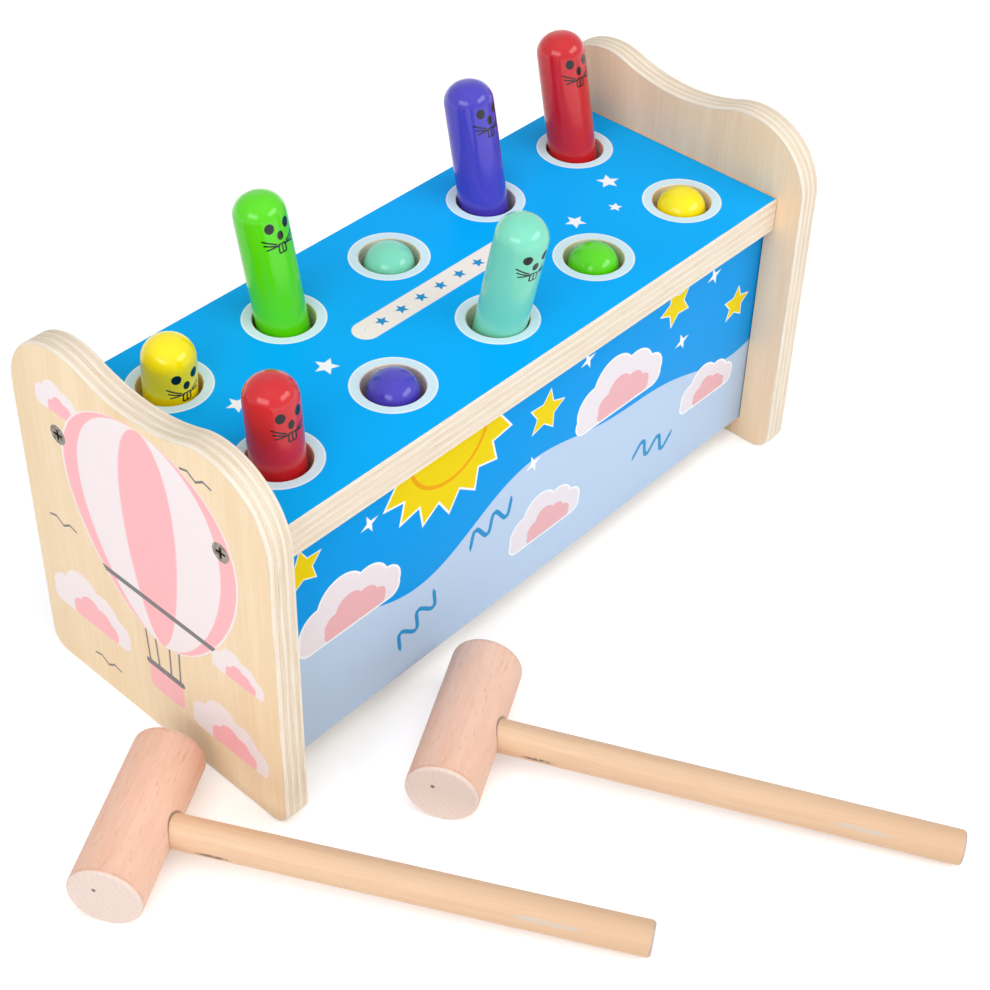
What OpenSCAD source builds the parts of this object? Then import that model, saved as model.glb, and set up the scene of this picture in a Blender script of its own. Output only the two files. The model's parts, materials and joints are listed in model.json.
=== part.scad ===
// Peg pounding bench with two mallets, in millimetres.
// A printed top board with two rows of captive pegs stands between two end panels,
// over a thin front board and a thin back board. Each pair of a front and a back peg
// hangs on one woven strap over a bar below the top board, so a peg that is knocked
// down lifts its partner. X runs along the bench, the front faces -Y and Z points up.
// The origin is on the floor, in the middle of the box round the bench and mallets.

/* [Top board] */
// Length of the bench over both end panels
bench_len = 280; // [250:1:330]
// Depth of the top board from front to back
top_depth = 104; // [98:1:130]
// Thickness of the top board
top_t = 14.5; // [12:0.5:18]
// Height of the top board's upper face above the floor
top_h = 121; // [112:1:140]
// Distance from the first and last peg hole to the board's ends
end_margin = 26.8; // [20:0.1:32]
// Distance from each row of peg holes to the board's long edge
row_margin = 25.3; // [23:0.1:28]

/* [End panels] */
// Thickness of each end panel
panel_t = 10; // [9:0.5:15]
// How far the panels stand out past the top board's long edges
panel_margin = 11; // [6:0.5:18]
// Rise of the panels' two shoulders above the top board
shoulder_rise = 30; // [24:0.5:45]
// Radius of the shoulders
shoulder_r = 28; // [20:0.5:32]
// Depth of the dip between the shoulders
dip_depth = 6.5; // [4:0.5:10]
// Radius of the lower corners
foot_r = 8; // [3:0.5:14]

/* [Front and back boards] */
// Thickness of the front and back boards
board_t = 5; // [4:0.5:7]
// Gap between these boards and the floor
board_lift = 10; // [6:0.5:20]
// How far the top board stands out over them
board_setback = 4.5; // [3:0.5:7]
// Depth of the grooves that hold their ends in the panels
groove_depth = 4; // [2:0.5:6]

/* [Pegs] */
// Diameter of a peg
peg_d = 18.6; // [17:0.1:20]
// Length of a peg
peg_len = 85; // [78:1:98]
// Radius of the rounding at a peg's upper end
peg_round = 8; // [4:0.5:8.5]
// Chamfer at a peg's lower end
peg_chamfer = 1; // [0.5:0.1:2]
// Difference between the diameters of a peg hole and a peg
peg_play = 3.8; // [2.5:0.1:4.2]
// Length of a raised peg above the board
up_show = 47.5; // [40:0.5:52]
// Length of a lowered peg above the board
down_show = 4.5; // [2:0.5:8]
// Length of the first back peg above the board, part of the way up
mid_show = 20; // [12:0.5:30]

/* [Straps and bar] */
// Diameter of the bar that the straps run over
bar_d = 12; // [10:0.5:14]
// Distance from the top board's underside to the bar's axis
bar_drop = 12.5; // [11:0.5:16]
// Depth of the bar's seats in the end panels
bar_seat = 5; // [3:0.5:7]
// Width of a strap
strap_w = 14; // [10:0.5:16]
// Thickness of a strap
strap_t = 1.2; // [0.8:0.1:1.6]
// Length of a strap's end past its tack
strap_tail = 5; // [3:0.5:6]

/* [Screws and tacks] */
// Diameter of a screw's shank
screw_d = 4; // [3:0.1:5]
// Diameter of a screw's countersunk head
screw_head_d = 7.6; // [6.5:0.1:9]
// Length of a screw
screw_len = 32; // [25:0.5:40]
// Distance from a screw to the top board's long edge
screw_inset = 12; // [8:0.5:16]
// Diameter of a tack's shank
tack_d = 2; // [1.5:0.1:2.5]
// Diameter of a tack's head
tack_head_d = 7; // [5:0.1:8]
// Height of a tack's head
tack_head_h = 1.4; // [1:0.1:2]
// Length of a tack's shank inside a peg
tack_len = 12; // [8:0.5:16]

/* [Mallets] */
// Diameter of a mallet's head
head_d = 26; // [22:0.5:32]
// Length of a mallet's head
head_len = 62; // [52:1:75]
// Diameter of a mallet's handle
handle_d = 12; // [10:0.5:14]
// Distance from the head's axis to the handle's free end
handle_len = 172; // [140:1:200]
// Depth of the handle's socket past the head's axis
socket_past = 6; // [3:0.5:8]
// Chamfer at the ends of the heads and the handles
mallet_chamfer = 1; // [0.5:0.1:2]
// Turn of the first mallet's handle from the bench's length towards the front
mallet_1_turn = 60; // [40:1:75]
// Gap between the first mallet's head and the left end panel
mallet_1_gap = 5; // [3:0.5:20]
// Distance from the bench's middle line forwards to the first mallet's head
mallet_1_forward = 33; // [20:1:50]
// Turn of the second mallet's handle from the bench's length towards the front
mallet_2_turn = 62; // [40:1:75]
// Gap between the second mallet's head and the top board's front edge
mallet_2_gap = 4.5; // [3:0.5:20]
// Distance from the left panel's outer face to the second mallet's head
mallet_2_along = 66; // [60:1:120]

/* [Hidden] */
$fn = 72;
// Radial clearance of parts that seat in each other
fit_gap = 0.1;
// Running clearance between a leaning peg and the edges of its hole
lean_gap = 0.2;
// How far cuts run past a surface
overrun = 1;
// Steps of an arc that is written out in points
arc_steps = 24;
// Steps of a strap's turn over the bar
wrap_steps = 10;
// Lean of the two pegs that are part of the way up, of the full lean
mid_lean_share = -0.3;
// Width and length of a screw's cross recess, of its head
cross_w_share = 0.14;
cross_len_share = 0.6;
// Diameter of the flat on a tack's head, of the head
tack_flat_share = 0.5;
// Most that a peg's rounding may take of its radius
round_share = 0.9;

columns = 5;
board_len = bench_len - 2 * panel_t;
inner_x = board_len / 2;
col_pitch = (board_len - 2 * end_margin) / (columns - 1);
row_y = top_depth / 2 - row_margin;
hole_d = peg_d + peg_play;
under_z = top_h - top_t;
mid_z = top_h - top_t / 2;

panel_w = top_depth + 2 * panel_margin;
shoulder_y = panel_w / 2 - shoulder_r;
shoulder_z = top_h + shoulder_rise - shoulder_r;
dip_z = top_h + shoulder_rise - dip_depth;
// The dip's arc touches both shoulder arcs
dip_drop = shoulder_r - dip_depth;
dip_r = (shoulder_y * shoulder_y + dip_drop * dip_drop - shoulder_r * shoulder_r) / (2 * dip_depth);
blend_angle = atan2(dip_drop + dip_r, -shoulder_y);

board_face_y = top_depth / 2 - board_setback;
screw_y = top_depth / 2 - screw_inset;
screw_cone_h = (screw_head_d - screw_d) / 2;
bar_z = under_z - bar_drop;

// Radius of the strap's middle line on the bar
wrap_r = bar_d / 2 + fit_gap + strap_t / 2;

// A raised peg leans outwards until it bears on the edges of its hole, or presses the strap on the bar
lean_room = hole_d - 2 * lean_gap;
hole_lean = acos(peg_d / norm([lean_room, top_t])) - atan2(top_t, lean_room);
bar_room = wrap_r + strap_t / 2 + fit_gap + peg_d / 2;
bar_lean = acos(bar_room / norm([row_y, mid_z - bar_z])) - atan2(mid_z - bar_z, row_y);
full_lean = min(hole_lean, bar_lean);

// How far each back peg is raised, of its whole stroke
mid_raise_share = (mid_show - down_show) / (up_show - down_show);
back_raise_shares = [mid_raise_share, 1, 0, 1, 1];
peg_dome_r = min(peg_round, round_share * peg_d / 2);

back_colors = ["yellow", "limegreen", "mediumaquamarine", "mediumslateblue", "firebrick"];
front_colors = ["firebrick", "mediumslateblue", "mediumaquamarine", "limegreen", "yellow"];

// Mallets: the droop brings the handle's free end down to the floor
droop = asin((head_d - handle_d) / 2 / handle_len);
mallet_1_x = -bench_len / 2 - mallet_1_gap - head_reach(sin(mallet_1_turn));
mallet_1_y = -mallet_1_forward;
mallet_2_x = -bench_len / 2 + mallet_2_along;
mallet_2_y = -top_depth / 2 - mallet_2_gap - head_reach(cos(mallet_2_turn));

// The box round the bench and the mallets
tip_1_y = handle_tip_y(mallet_1_y, mallet_1_turn);
tip_2_y = handle_tip_y(mallet_2_y, mallet_2_turn);
low_x = mallet_1_x - head_reach(sin(mallet_1_turn));
low_y = min(tip_1_y, tip_2_y);
centre_x = (low_x + bench_len / 2) / 2;
centre_y = (low_y + panel_w / 2) / 2;

// Points of an arc about a centre, from one angle to another
function arc(centre, r, from, to, steps) =
    [for (i = [0:steps]) centre + r * [cos(from + (to - from) * i / steps), sin(from + (to - from) * i / steps)]];

// Place of a column of pegs along the bench
function col_x(col) = (col - (columns - 1) / 2) * col_pitch;

// How far a peg is raised, of its whole stroke; side is 1 for the back row and -1 for the front row
function raise_of(col, side) = side > 0 ? back_raise_shares[col] : 1 - back_raise_shares[col];

// Length of a raised peg above the board
function show_of(raise) = down_show + raise * (up_show - down_show);

// Outward lean of a raised peg
function lean_of(raise) = raise == 1 ? full_lean : raise == 0 ? 0 : mid_lean_share * full_lean;

// How far along its own axis a peg's lower end lies from the middle of its hole
function foot_along(raise) = show_of(raise) + top_t / 2 / cos(lean_of(raise)) - peg_len;

// A peg's axis and the direction from it towards the bar, across the bench and upwards
function peg_axis(side, lean) = [side * sin(lean), cos(lean)];
function peg_inward(side, lean) = [-side * cos(lean), sin(lean)];

// Middle of a peg's lower end, across the bench and upwards
function foot_point(side, raise) = [side * row_y, mid_z] + foot_along(raise) * peg_axis(side, lean_of(raise));

// Middle of the strap's thickness under a peg, a distance towards the bar
function strap_under(side, raise, inward) =
    foot_point(side, raise) - (fit_gap + strap_t / 2) * peg_axis(side, lean_of(raise))
    + inward * peg_inward(side, lean_of(raise));

// The strap's two points at a peg: its loose end and its turn at the peg's inner edge
function strap_end(side, raise) = strap_under(side, raise, -strap_tail);
function strap_turn(side, raise) = strap_under(side, raise, peg_d / 2 + fit_gap + strap_t / 2);

// Angle on the bar at which the strap from a point comes to lie on it
function wrap_angle(side, point) =
    atan2(point[1] - bar_z, side * point[0]) + acos(wrap_r / norm(point - [0, bar_z]));

// The strap's middle line, from the back peg over the bar to the front peg
function strap_line(back, front) =
    concat(
        [strap_end(1, back), strap_turn(1, back)],
        arc([0, bar_z], wrap_r, wrap_angle(1, strap_turn(1, back)),
            180 - wrap_angle(-1, strap_turn(-1, front)), wrap_steps),
        [strap_turn(-1, front), strap_end(-1, front)]
    );

// Unit normal of a line's stretch, and the mitred normal at each of its points
function unit(v) = v / norm(v);
function stretch_normal(line, i) = let (d = unit(line[i + 1] - line[i])) [-d[1], d[0]];
function point_normal(line, i) =
    let (before = stretch_normal(line, max(i - 1, 0)), after = stretch_normal(line, min(i, len(line) - 2)))
    unit(before + after) / sqrt((1 + before * after) / 2);

// A line given a thickness
function band(line, thickness) =
    concat(
        [for (i = [0:len(line) - 1]) line[i] + thickness / 2 * point_normal(line, i)],
        [for (i = [len(line) - 1:-1:0]) line[i] - thickness / 2 * point_normal(line, i)]
    );

// Reach of a mallet's head along a direction that makes the given sine with its handle
function head_reach(across) = head_len / 2 * across + head_d / 2 * sqrt(1 - across * across);

// Foremost point of a handle's free end
function handle_tip_y(head_y, turn) =
    let (forward = cos(droop) * sin(turn)) head_y - handle_len * forward - handle_d / 2 * sqrt(1 - forward * forward);

// Moves a piece from the bench's own middle to the shared origin
module placed() {
    translate([-centre_x, -centre_y, 0]) children();
}

// Draws across the bench and upwards, and extends along the bench
module along_bench(from, length) {
    translate([from, 0, 0]) rotate([90, 0, 90]) linear_extrude(length) children();
}

// A round bar along the bench
module rod_along_bench(d, from, length) {
    translate([from, 0, 0]) rotate([0, 90, 0]) cylinder(d = d, h = length);
}

module panel_outline() {
    polygon(concat(
        arc([panel_w / 2 - foot_r, foot_r], foot_r, -90, 0, arc_steps),
        arc([shoulder_y, shoulder_z], shoulder_r, 0, blend_angle, arc_steps),
        arc([0, dip_z + dip_r], dip_r, blend_angle - 180, -blend_angle, arc_steps),
        arc([-shoulder_y, shoulder_z], shoulder_r, 180 - blend_angle, 180, arc_steps),
        arc([foot_r - panel_w / 2, foot_r], foot_r, 180, 270, arc_steps)
    ));
}

// A plywood end panel with its outer face at the bench's left end
module end_panel() {
    difference() {
        along_bench(-bench_len / 2, panel_t) panel_outline();
        for (side = [-1, 1]) {
            board_groove(side);
            translate([0, side * screw_y, mid_z]) screw_hole();
        }
        translate([0, 0, bar_z])
            rod_along_bench(bar_d + 2 * fit_gap, -inner_x - bar_seat, bar_seat + overrun);
    }
}

// Groove in the left panel's inner face for the end of the front or back board
module board_groove(side) {
    groove_w = board_t + 2 * fit_gap;
    translate([-inner_x - groove_depth, side * (board_face_y - board_t / 2) - groove_w / 2, board_lift])
        cube([groove_depth + overrun, groove_w, under_z - board_lift + fit_gap]);
}

// Countersunk hole through the left panel
module screw_hole() {
    rod_along_bench(screw_d + 2 * fit_gap, -bench_len / 2 - overrun, panel_t + 2 * overrun);
    translate([-bench_len / 2, 0, 0]) rotate([0, 90, 0])
        cylinder(d1 = screw_head_d + 2 * fit_gap, d2 = screw_d + 2 * fit_gap, h = screw_cone_h);
}

module left_end_panel() {
    color("burlywood") placed() end_panel();
}

module right_end_panel() {
    color("burlywood") placed() mirror([1, 0, 0]) end_panel();
}

module top_board() {
    color("deepskyblue") placed() difference() {
        translate([-inner_x, -top_depth / 2, under_z]) cube([board_len, top_depth, top_t]);
        for (col = [0:columns - 1], side = [-1, 1])
            translate([col_x(col), side * row_y, under_z - overrun])
                cylinder(d = hole_d, h = top_t + 2 * overrun);
        for (end = [0, 1], side = [-1, 1])
            mirror([end, 0, 0]) translate([0, side * screw_y, mid_z])
                rod_along_bench(screw_d + 2 * fit_gap, -inner_x - overrun, screw_len - panel_t + 2 * overrun);
    }
}

// A thin board between the end panels, on the front or the back
module long_board(side) {
    half_len = inner_x + groove_depth - fit_gap;
    translate([-half_len, side * (board_face_y - board_t / 2) - board_t / 2, board_lift])
        cube([2 * half_len, board_t, under_z - board_lift]);
}

module front_board() {
    color("lightsteelblue") placed() long_board(-1);
}

module back_board() {
    color("lightsteelblue") placed() long_board(1);
}

module strap_bar() {
    half_len = inner_x + bar_seat - fit_gap;
    color("wheat") placed() translate([0, 0, bar_z]) rod_along_bench(bar_d, -half_len, 2 * half_len);
}

// Places what is drawn on a peg's axis, with zero at the middle of the peg's lower end
module on_peg(col, side) {
    raise = raise_of(col, side);
    translate([col_x(col), side * row_y, mid_z]) rotate([-side * lean_of(raise), 0, 0])
        translate([0, 0, foot_along(raise)]) children();
}

module strap(col) {
    color("whitesmoke") placed() difference() {
        along_bench(col_x(col) - strap_w / 2, strap_w)
            polygon(band(strap_line(raise_of(col, 1), raise_of(col, -1)), strap_t));
        for (side = [-1, 1])
            on_peg(col, side) translate([0, 0, -strap_t - fit_gap - overrun])
                cylinder(d = tack_d + 2 * fit_gap, h = strap_t + fit_gap + 2 * overrun);
    }
}

// A round peg with a rounded upper end and a tack hole in its lower end
module peg(col, side) {
    r = peg_d / 2;
    color(side > 0 ? back_colors[col] : front_colors[col]) placed() on_peg(col, side) difference() {
        rotate_extrude()
            polygon(concat(
                [[0, 0], [r - peg_chamfer, 0], [r, peg_chamfer]],
                arc([r - peg_dome_r, peg_len - peg_dome_r], peg_dome_r, 0, 90, arc_steps),
                [[0, peg_len]]
            ));
        translate([0, 0, -overrun])
            cylinder(d = tack_d + 2 * fit_gap, h = tack_len + fit_gap + overrun);
    }
}

// A round-headed tack that holds a strap's end to a peg
module tack(col, side) {
    shank = strap_t + 2 * fit_gap + tack_len;
    color("silver") placed() on_peg(col, side) translate([0, 0, -strap_t - 2 * fit_gap])
        rotate_extrude()
            polygon([
                [0, -tack_head_h],
                [tack_flat_share * tack_head_d / 2, -tack_head_h],
                [tack_head_d / 2, 0],
                [tack_d / 2, 0],
                [tack_d / 2, shank - tack_d / 2],
                [0, shank]
            ]);
}

// A countersunk wood screw from the left panel into the top board's end
module screw() {
    translate([-bench_len / 2, 0, 0]) rotate([0, 90, 0]) difference() {
        rotate_extrude()
            polygon([
                [0, 0],
                [screw_head_d / 2, 0],
                [screw_d / 2, screw_cone_h],
                [screw_d / 2, screw_len - screw_d],
                [0, screw_len]
            ]);
        for (turn = [0, 90])
            rotate([0, 0, turn]) cube(
                [cross_len_share * screw_head_d, cross_w_share * screw_head_d, screw_cone_h],
                center = true
            );
    }
}

module screw_pair() {
    for (side = [-1, 1])
        translate([0, side * screw_y, mid_z]) screw();
}

module left_screws() {
    color("silver") placed() screw_pair();
}

module right_screws() {
    color("silver") placed() mirror([1, 0, 0]) screw_pair();
}

// A round stick with chamfered ends, along Z from zero
module turned_stick(d, length) {
    rotate_extrude()
        polygon([
            [0, 0],
            [d / 2 - mallet_chamfer, 0],
            [d / 2, mallet_chamfer],
            [d / 2, length - mallet_chamfer],
            [d / 2 - mallet_chamfer, length],
            [0, length]
        ]);
}

// Places a mallet that lies on the floor, with zero at the middle of its head and the handle along X
module lying(x, y, turn) {
    placed() translate([x, y, head_d / 2]) rotate([0, 0, -turn]) children();
}

module mallet_head() {
    color("peachpuff") difference() {
        rotate([90, 0, 0]) translate([0, 0, -head_len / 2]) turned_stick(head_d, head_len);
        rotate([0, 90 + droop, 0]) translate([0, 0, -socket_past])
            cylinder(d = handle_d + 2 * fit_gap, h = socket_past + head_d / 2 + overrun);
    }
}

module mallet_handle() {
    color("navajowhite") rotate([0, 90 + droop, 0]) translate([0, 0, -socket_past])
        turned_stick(handle_d, socket_past + handle_len);
}

module mallet_1_head() {
    lying(mallet_1_x, mallet_1_y, mallet_1_turn) mallet_head();
}

module mallet_1_handle() {
    lying(mallet_1_x, mallet_1_y, mallet_1_turn) mallet_handle();
}

module mallet_2_head() {
    lying(mallet_2_x, mallet_2_y, mallet_2_turn) mallet_head();
}

module mallet_2_handle() {
    lying(mallet_2_x, mallet_2_y, mallet_2_turn) mallet_handle();
}

left_end_panel();
right_end_panel();
top_board();
front_board();
back_board();
strap_bar();
strap(0);  // strap_1
strap(1);  // strap_2
strap(2);  // strap_3
strap(3);  // strap_4
strap(4);  // strap_5
peg(0, 1);  // back_peg_yellow
peg(1, 1);  // back_peg_green
peg(2, 1);  // back_peg_mint
peg(3, 1);  // back_peg_purple
peg(4, 1);  // back_peg_red
peg(0, -1);  // front_peg_red
peg(1, -1);  // front_peg_purple
peg(2, -1);  // front_peg_mint
peg(3, -1);  // front_peg_green
peg(4, -1);  // front_peg_yellow
tack(0, 1);  // back_tack_1
tack(1, 1);  // back_tack_2
tack(2, 1);  // back_tack_3
tack(3, 1);  // back_tack_4
tack(4, 1);  // back_tack_5
tack(0, -1);  // front_tack_1
tack(1, -1);  // front_tack_2
tack(2, -1);  // front_tack_3
tack(3, -1);  // front_tack_4
tack(4, -1);  // front_tack_5
left_screws();
right_screws();
mallet_1_head();
mallet_1_handle();
mallet_2_head();
mallet_2_handle();
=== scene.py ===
"""Looks of a peg pounding bench with two mallets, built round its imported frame. Lengths are in metres."""
import json
import logging
import math
from dataclasses import dataclass
from enum import Enum
from typing import Callable, Iterable, Optional, Sequence, Union

import bmesh
import bpy
from mathutils import Color, Matrix, Vector


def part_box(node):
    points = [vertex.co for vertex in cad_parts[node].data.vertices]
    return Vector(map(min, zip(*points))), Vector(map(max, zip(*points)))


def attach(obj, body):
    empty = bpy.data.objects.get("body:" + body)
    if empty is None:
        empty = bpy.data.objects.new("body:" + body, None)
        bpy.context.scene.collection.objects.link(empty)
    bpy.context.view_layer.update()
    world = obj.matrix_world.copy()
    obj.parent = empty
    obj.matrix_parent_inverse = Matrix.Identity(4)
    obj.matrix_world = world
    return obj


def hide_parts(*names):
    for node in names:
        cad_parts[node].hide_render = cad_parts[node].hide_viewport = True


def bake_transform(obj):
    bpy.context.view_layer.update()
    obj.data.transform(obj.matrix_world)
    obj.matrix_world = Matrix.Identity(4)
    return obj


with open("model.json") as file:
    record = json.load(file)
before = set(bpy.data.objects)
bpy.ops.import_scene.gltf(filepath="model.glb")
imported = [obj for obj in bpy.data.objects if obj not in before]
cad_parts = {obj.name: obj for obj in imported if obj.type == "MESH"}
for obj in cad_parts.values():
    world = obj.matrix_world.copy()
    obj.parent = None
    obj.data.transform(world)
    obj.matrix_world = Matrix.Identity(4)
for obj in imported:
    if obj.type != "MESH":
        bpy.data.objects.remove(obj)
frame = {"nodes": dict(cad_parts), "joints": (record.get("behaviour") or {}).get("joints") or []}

LOG = logging.getLogger("peg_bench")
NODES: dict[str, bpy.types.Object] = frame["nodes"]
JOINTS: dict[str, dict] = {joint["child"]: joint for joint in frame["joints"]}
BENCH = "bench"
SCREWS = ("left_screws", "right_screws")
# Radial clearance of pieces that seat in each other
FIT_GAP = 0.0001
# Points nearer to each other than this are one point
TOUCH = 0.00001
# Steps of a full turn on a lathe, of a turned piece's rounded corner and of a drilled hole
LATHE_STEPS = 72
CORNER_STEPS = 8
HOLE_STEPS = 32
# Edges that turn by more than this stay crisp
CRISP = math.radians(35)
# Blur of a printed edge
PRINT_SOFT = 0.00012
# The frame's own place, and the turn that lays an upright axis along the bench
FRAME_PLACE = Matrix.Identity(4)
LYING = Matrix.Rotation(math.pi / 2, 4, "Y")
# Figure, fibre and stretch of the grain of a turned stick
STICK_GRAIN = (150.0, 1200.0, 0.03)
# Place and radius of each puff of a cloud, and drop and half-height of its base, in half-widths of the cloud
PUFFS = ((-0.62, 0.0, 0.36), (-0.16, 0.24, 0.46), (0.36, 0.12, 0.4), (0.74, -0.04, 0.28))
CLOUD_BASE = (0.2, 0.18)
NO_LIGHT = (0.0, 0.0, 0.0, 1.0)
FULL_LIGHT = (1.0, 1.0, 1.0, 1.0)

Place = tuple[float, float]
Triple = tuple[float, float, float]
Quad = tuple[float, float, float, float]
Number = Union["Value", float]
Colour = Union["Value", Quad]
Operator = Callable[["Value", Number], "Value"]
Material = bpy.types.Material
Edges = list[bmesh.types.BMEdge]
Chooser = Callable[[bmesh.types.BMFace], int]


class Axis(Enum):
    """An axis of the frame, by its place in a vector."""

    X = 0
    Y = 1
    Z = 2

    def scales(self, along: float, across: float = 1.0) -> list[float]:
        """Scales of the three axes, with one value along this axis and another across it."""
        return [along if axis is self else across for axis in Axis]


class Ink(Enum):
    """Inks, paints and wood tones, as they look in plain white light."""

    TOP_BLUE = "#00AFFC"
    ICE = "#D2EBF6"
    STRIP = "#F4ECE6"
    FRONT_BLUE = "#0096E6"
    FRONT_PALE = "#BCD2EC"
    LEMON = "#EBD20A"
    AMBER = "#EBA60C"
    CLOUD = "#EBE4EA"
    BLUSH = "#EBB4BA"
    ROSE = "#FBB4BA"
    PETAL = "#F2E6E8"
    SLATE = "#6E6A6C"
    CURL = "#2492CC"
    WHITE = "#F6FAFC"
    BLACK = "#060708"
    VENEER_PALE = "#F4DEBC"
    VENEER_DEEP = "#E9CBA0"
    # Veneer of the panels' inner faces: a warmer tone of its own, and painted light, brightened to make up
    # for the shade on those faces
    VENEER_WARM = "#F9DEBC"
    VENEER_TAN = "#EDC9A2"
    PLY_PALE = "#F2E7D7"
    PLY_DEEP = "#D3B994"
    GLUE = "#BFA47E"
    KNOT = "#A67848"
    BEECH_PALE = "#F0CAB4"
    BEECH_DEEP = "#E2B299"
    BEECH_FLECK = "#C98F74"
    END_PALE = "#E9D7CD"
    END_DEEP = "#D9C0B3"
    STICK_PALE = "#ECC9A8"
    STICK_DEEP = "#D6AE8A"
    # Dark streaks and marks in the wood, also used for painted shade round a mallet's handle where it enters
    # the head
    STREAK = "#6B5A4C"
    SCUFF = "#C6C4BE"
    YELLOW = "#FFEC00"
    GREEN = "#5ADE06"
    MINT = "#80DEC0"
    PURPLE = "#4A40C0"
    RED = "#D2222A"
    YARN = "#ECE6DA"
    YARN_SHADE = "#B9B1A2"
    ZINC = "#A8A196"
    TARNISH = "#544B40"
    FLOOR = "#FAFAFA"

    @property
    def rgba(self) -> Quad:
        """Linear colour of the hexadecimal screen colour."""
        screen = Color([int(self.value[i:i + 2], 16) / 255 for i in (1, 3, 5)])
        return *screen.from_srgb_to_scene_linear(), 1.0


def operators(operation: str) -> tuple[Operator, Operator]:
    """Makes an operator on values, and its reflected form.

    Args:
        operation: The Math node's operation.

    Returns:
        The form with the value on the left, and the form with it on the right.
    """

    def plain(value: "Value", other: Number) -> "Value":
        """Puts the value on the left."""
        return value.sheet.math(operation, value, other)

    def reflected(value: "Value", other: Number) -> "Value":
        """Puts the value on the right."""
        return value.sheet.math(operation, other, value)

    return plain, reflected


class Value:
    """A shader socket that adds Math nodes where it stands in an expression."""

    __add__, __radd__ = operators("ADD")
    __sub__, __rsub__ = operators("SUBTRACT")
    __mul__, __rmul__ = operators("MULTIPLY")
    __truediv__, __rtruediv__ = operators("DIVIDE")
    __mod__, __rmod__ = operators("FLOORED_MODULO")

    def __init__(self, sheet: "Sheet", socket: bpy.types.NodeSocket) -> None:
        """Wraps a socket of a sheet's tree."""
        self.sheet = sheet
        self.socket = socket

    def __neg__(self) -> "Value":
        """The value with its sign turned."""
        return self.sheet.math("MULTIPLY", self, -1.0)

    def __abs__(self) -> "Value":
        """The value without its sign."""
        return self.sheet.math("ABSOLUTE", self)

    def least(self, other: Number) -> "Value":
        """The smaller of two values."""
        return self.sheet.math("MINIMUM", self, other)

    def most(self, other: Number) -> "Value":
        """The larger of two values."""
        return self.sheet.math("MAXIMUM", self, other)

    def call(self, operation: str) -> "Value":
        """The value put through a Math node of one input, such as SINE or SQRT."""
        return self.sheet.math(operation, self)

    def clamped(self) -> "Value":
        """The value kept between zero and one."""
        return self.sheet.node("Clamp", None, {"Value": self})

    def line(self, gain: float, start: float) -> "Value":
        """The value times a gain, added to a start."""
        return self * gain + start

    def ramp(self, gain: float, start: float) -> "Value":
        """The value times a gain, added to a start and kept between zero and one."""
        return self.line(gain, start).clamped()

    def output(self, name: str) -> "Value":
        """Another output of the node that this value comes from."""
        return Value(self.sheet, self.socket.node.outputs[name])


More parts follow.
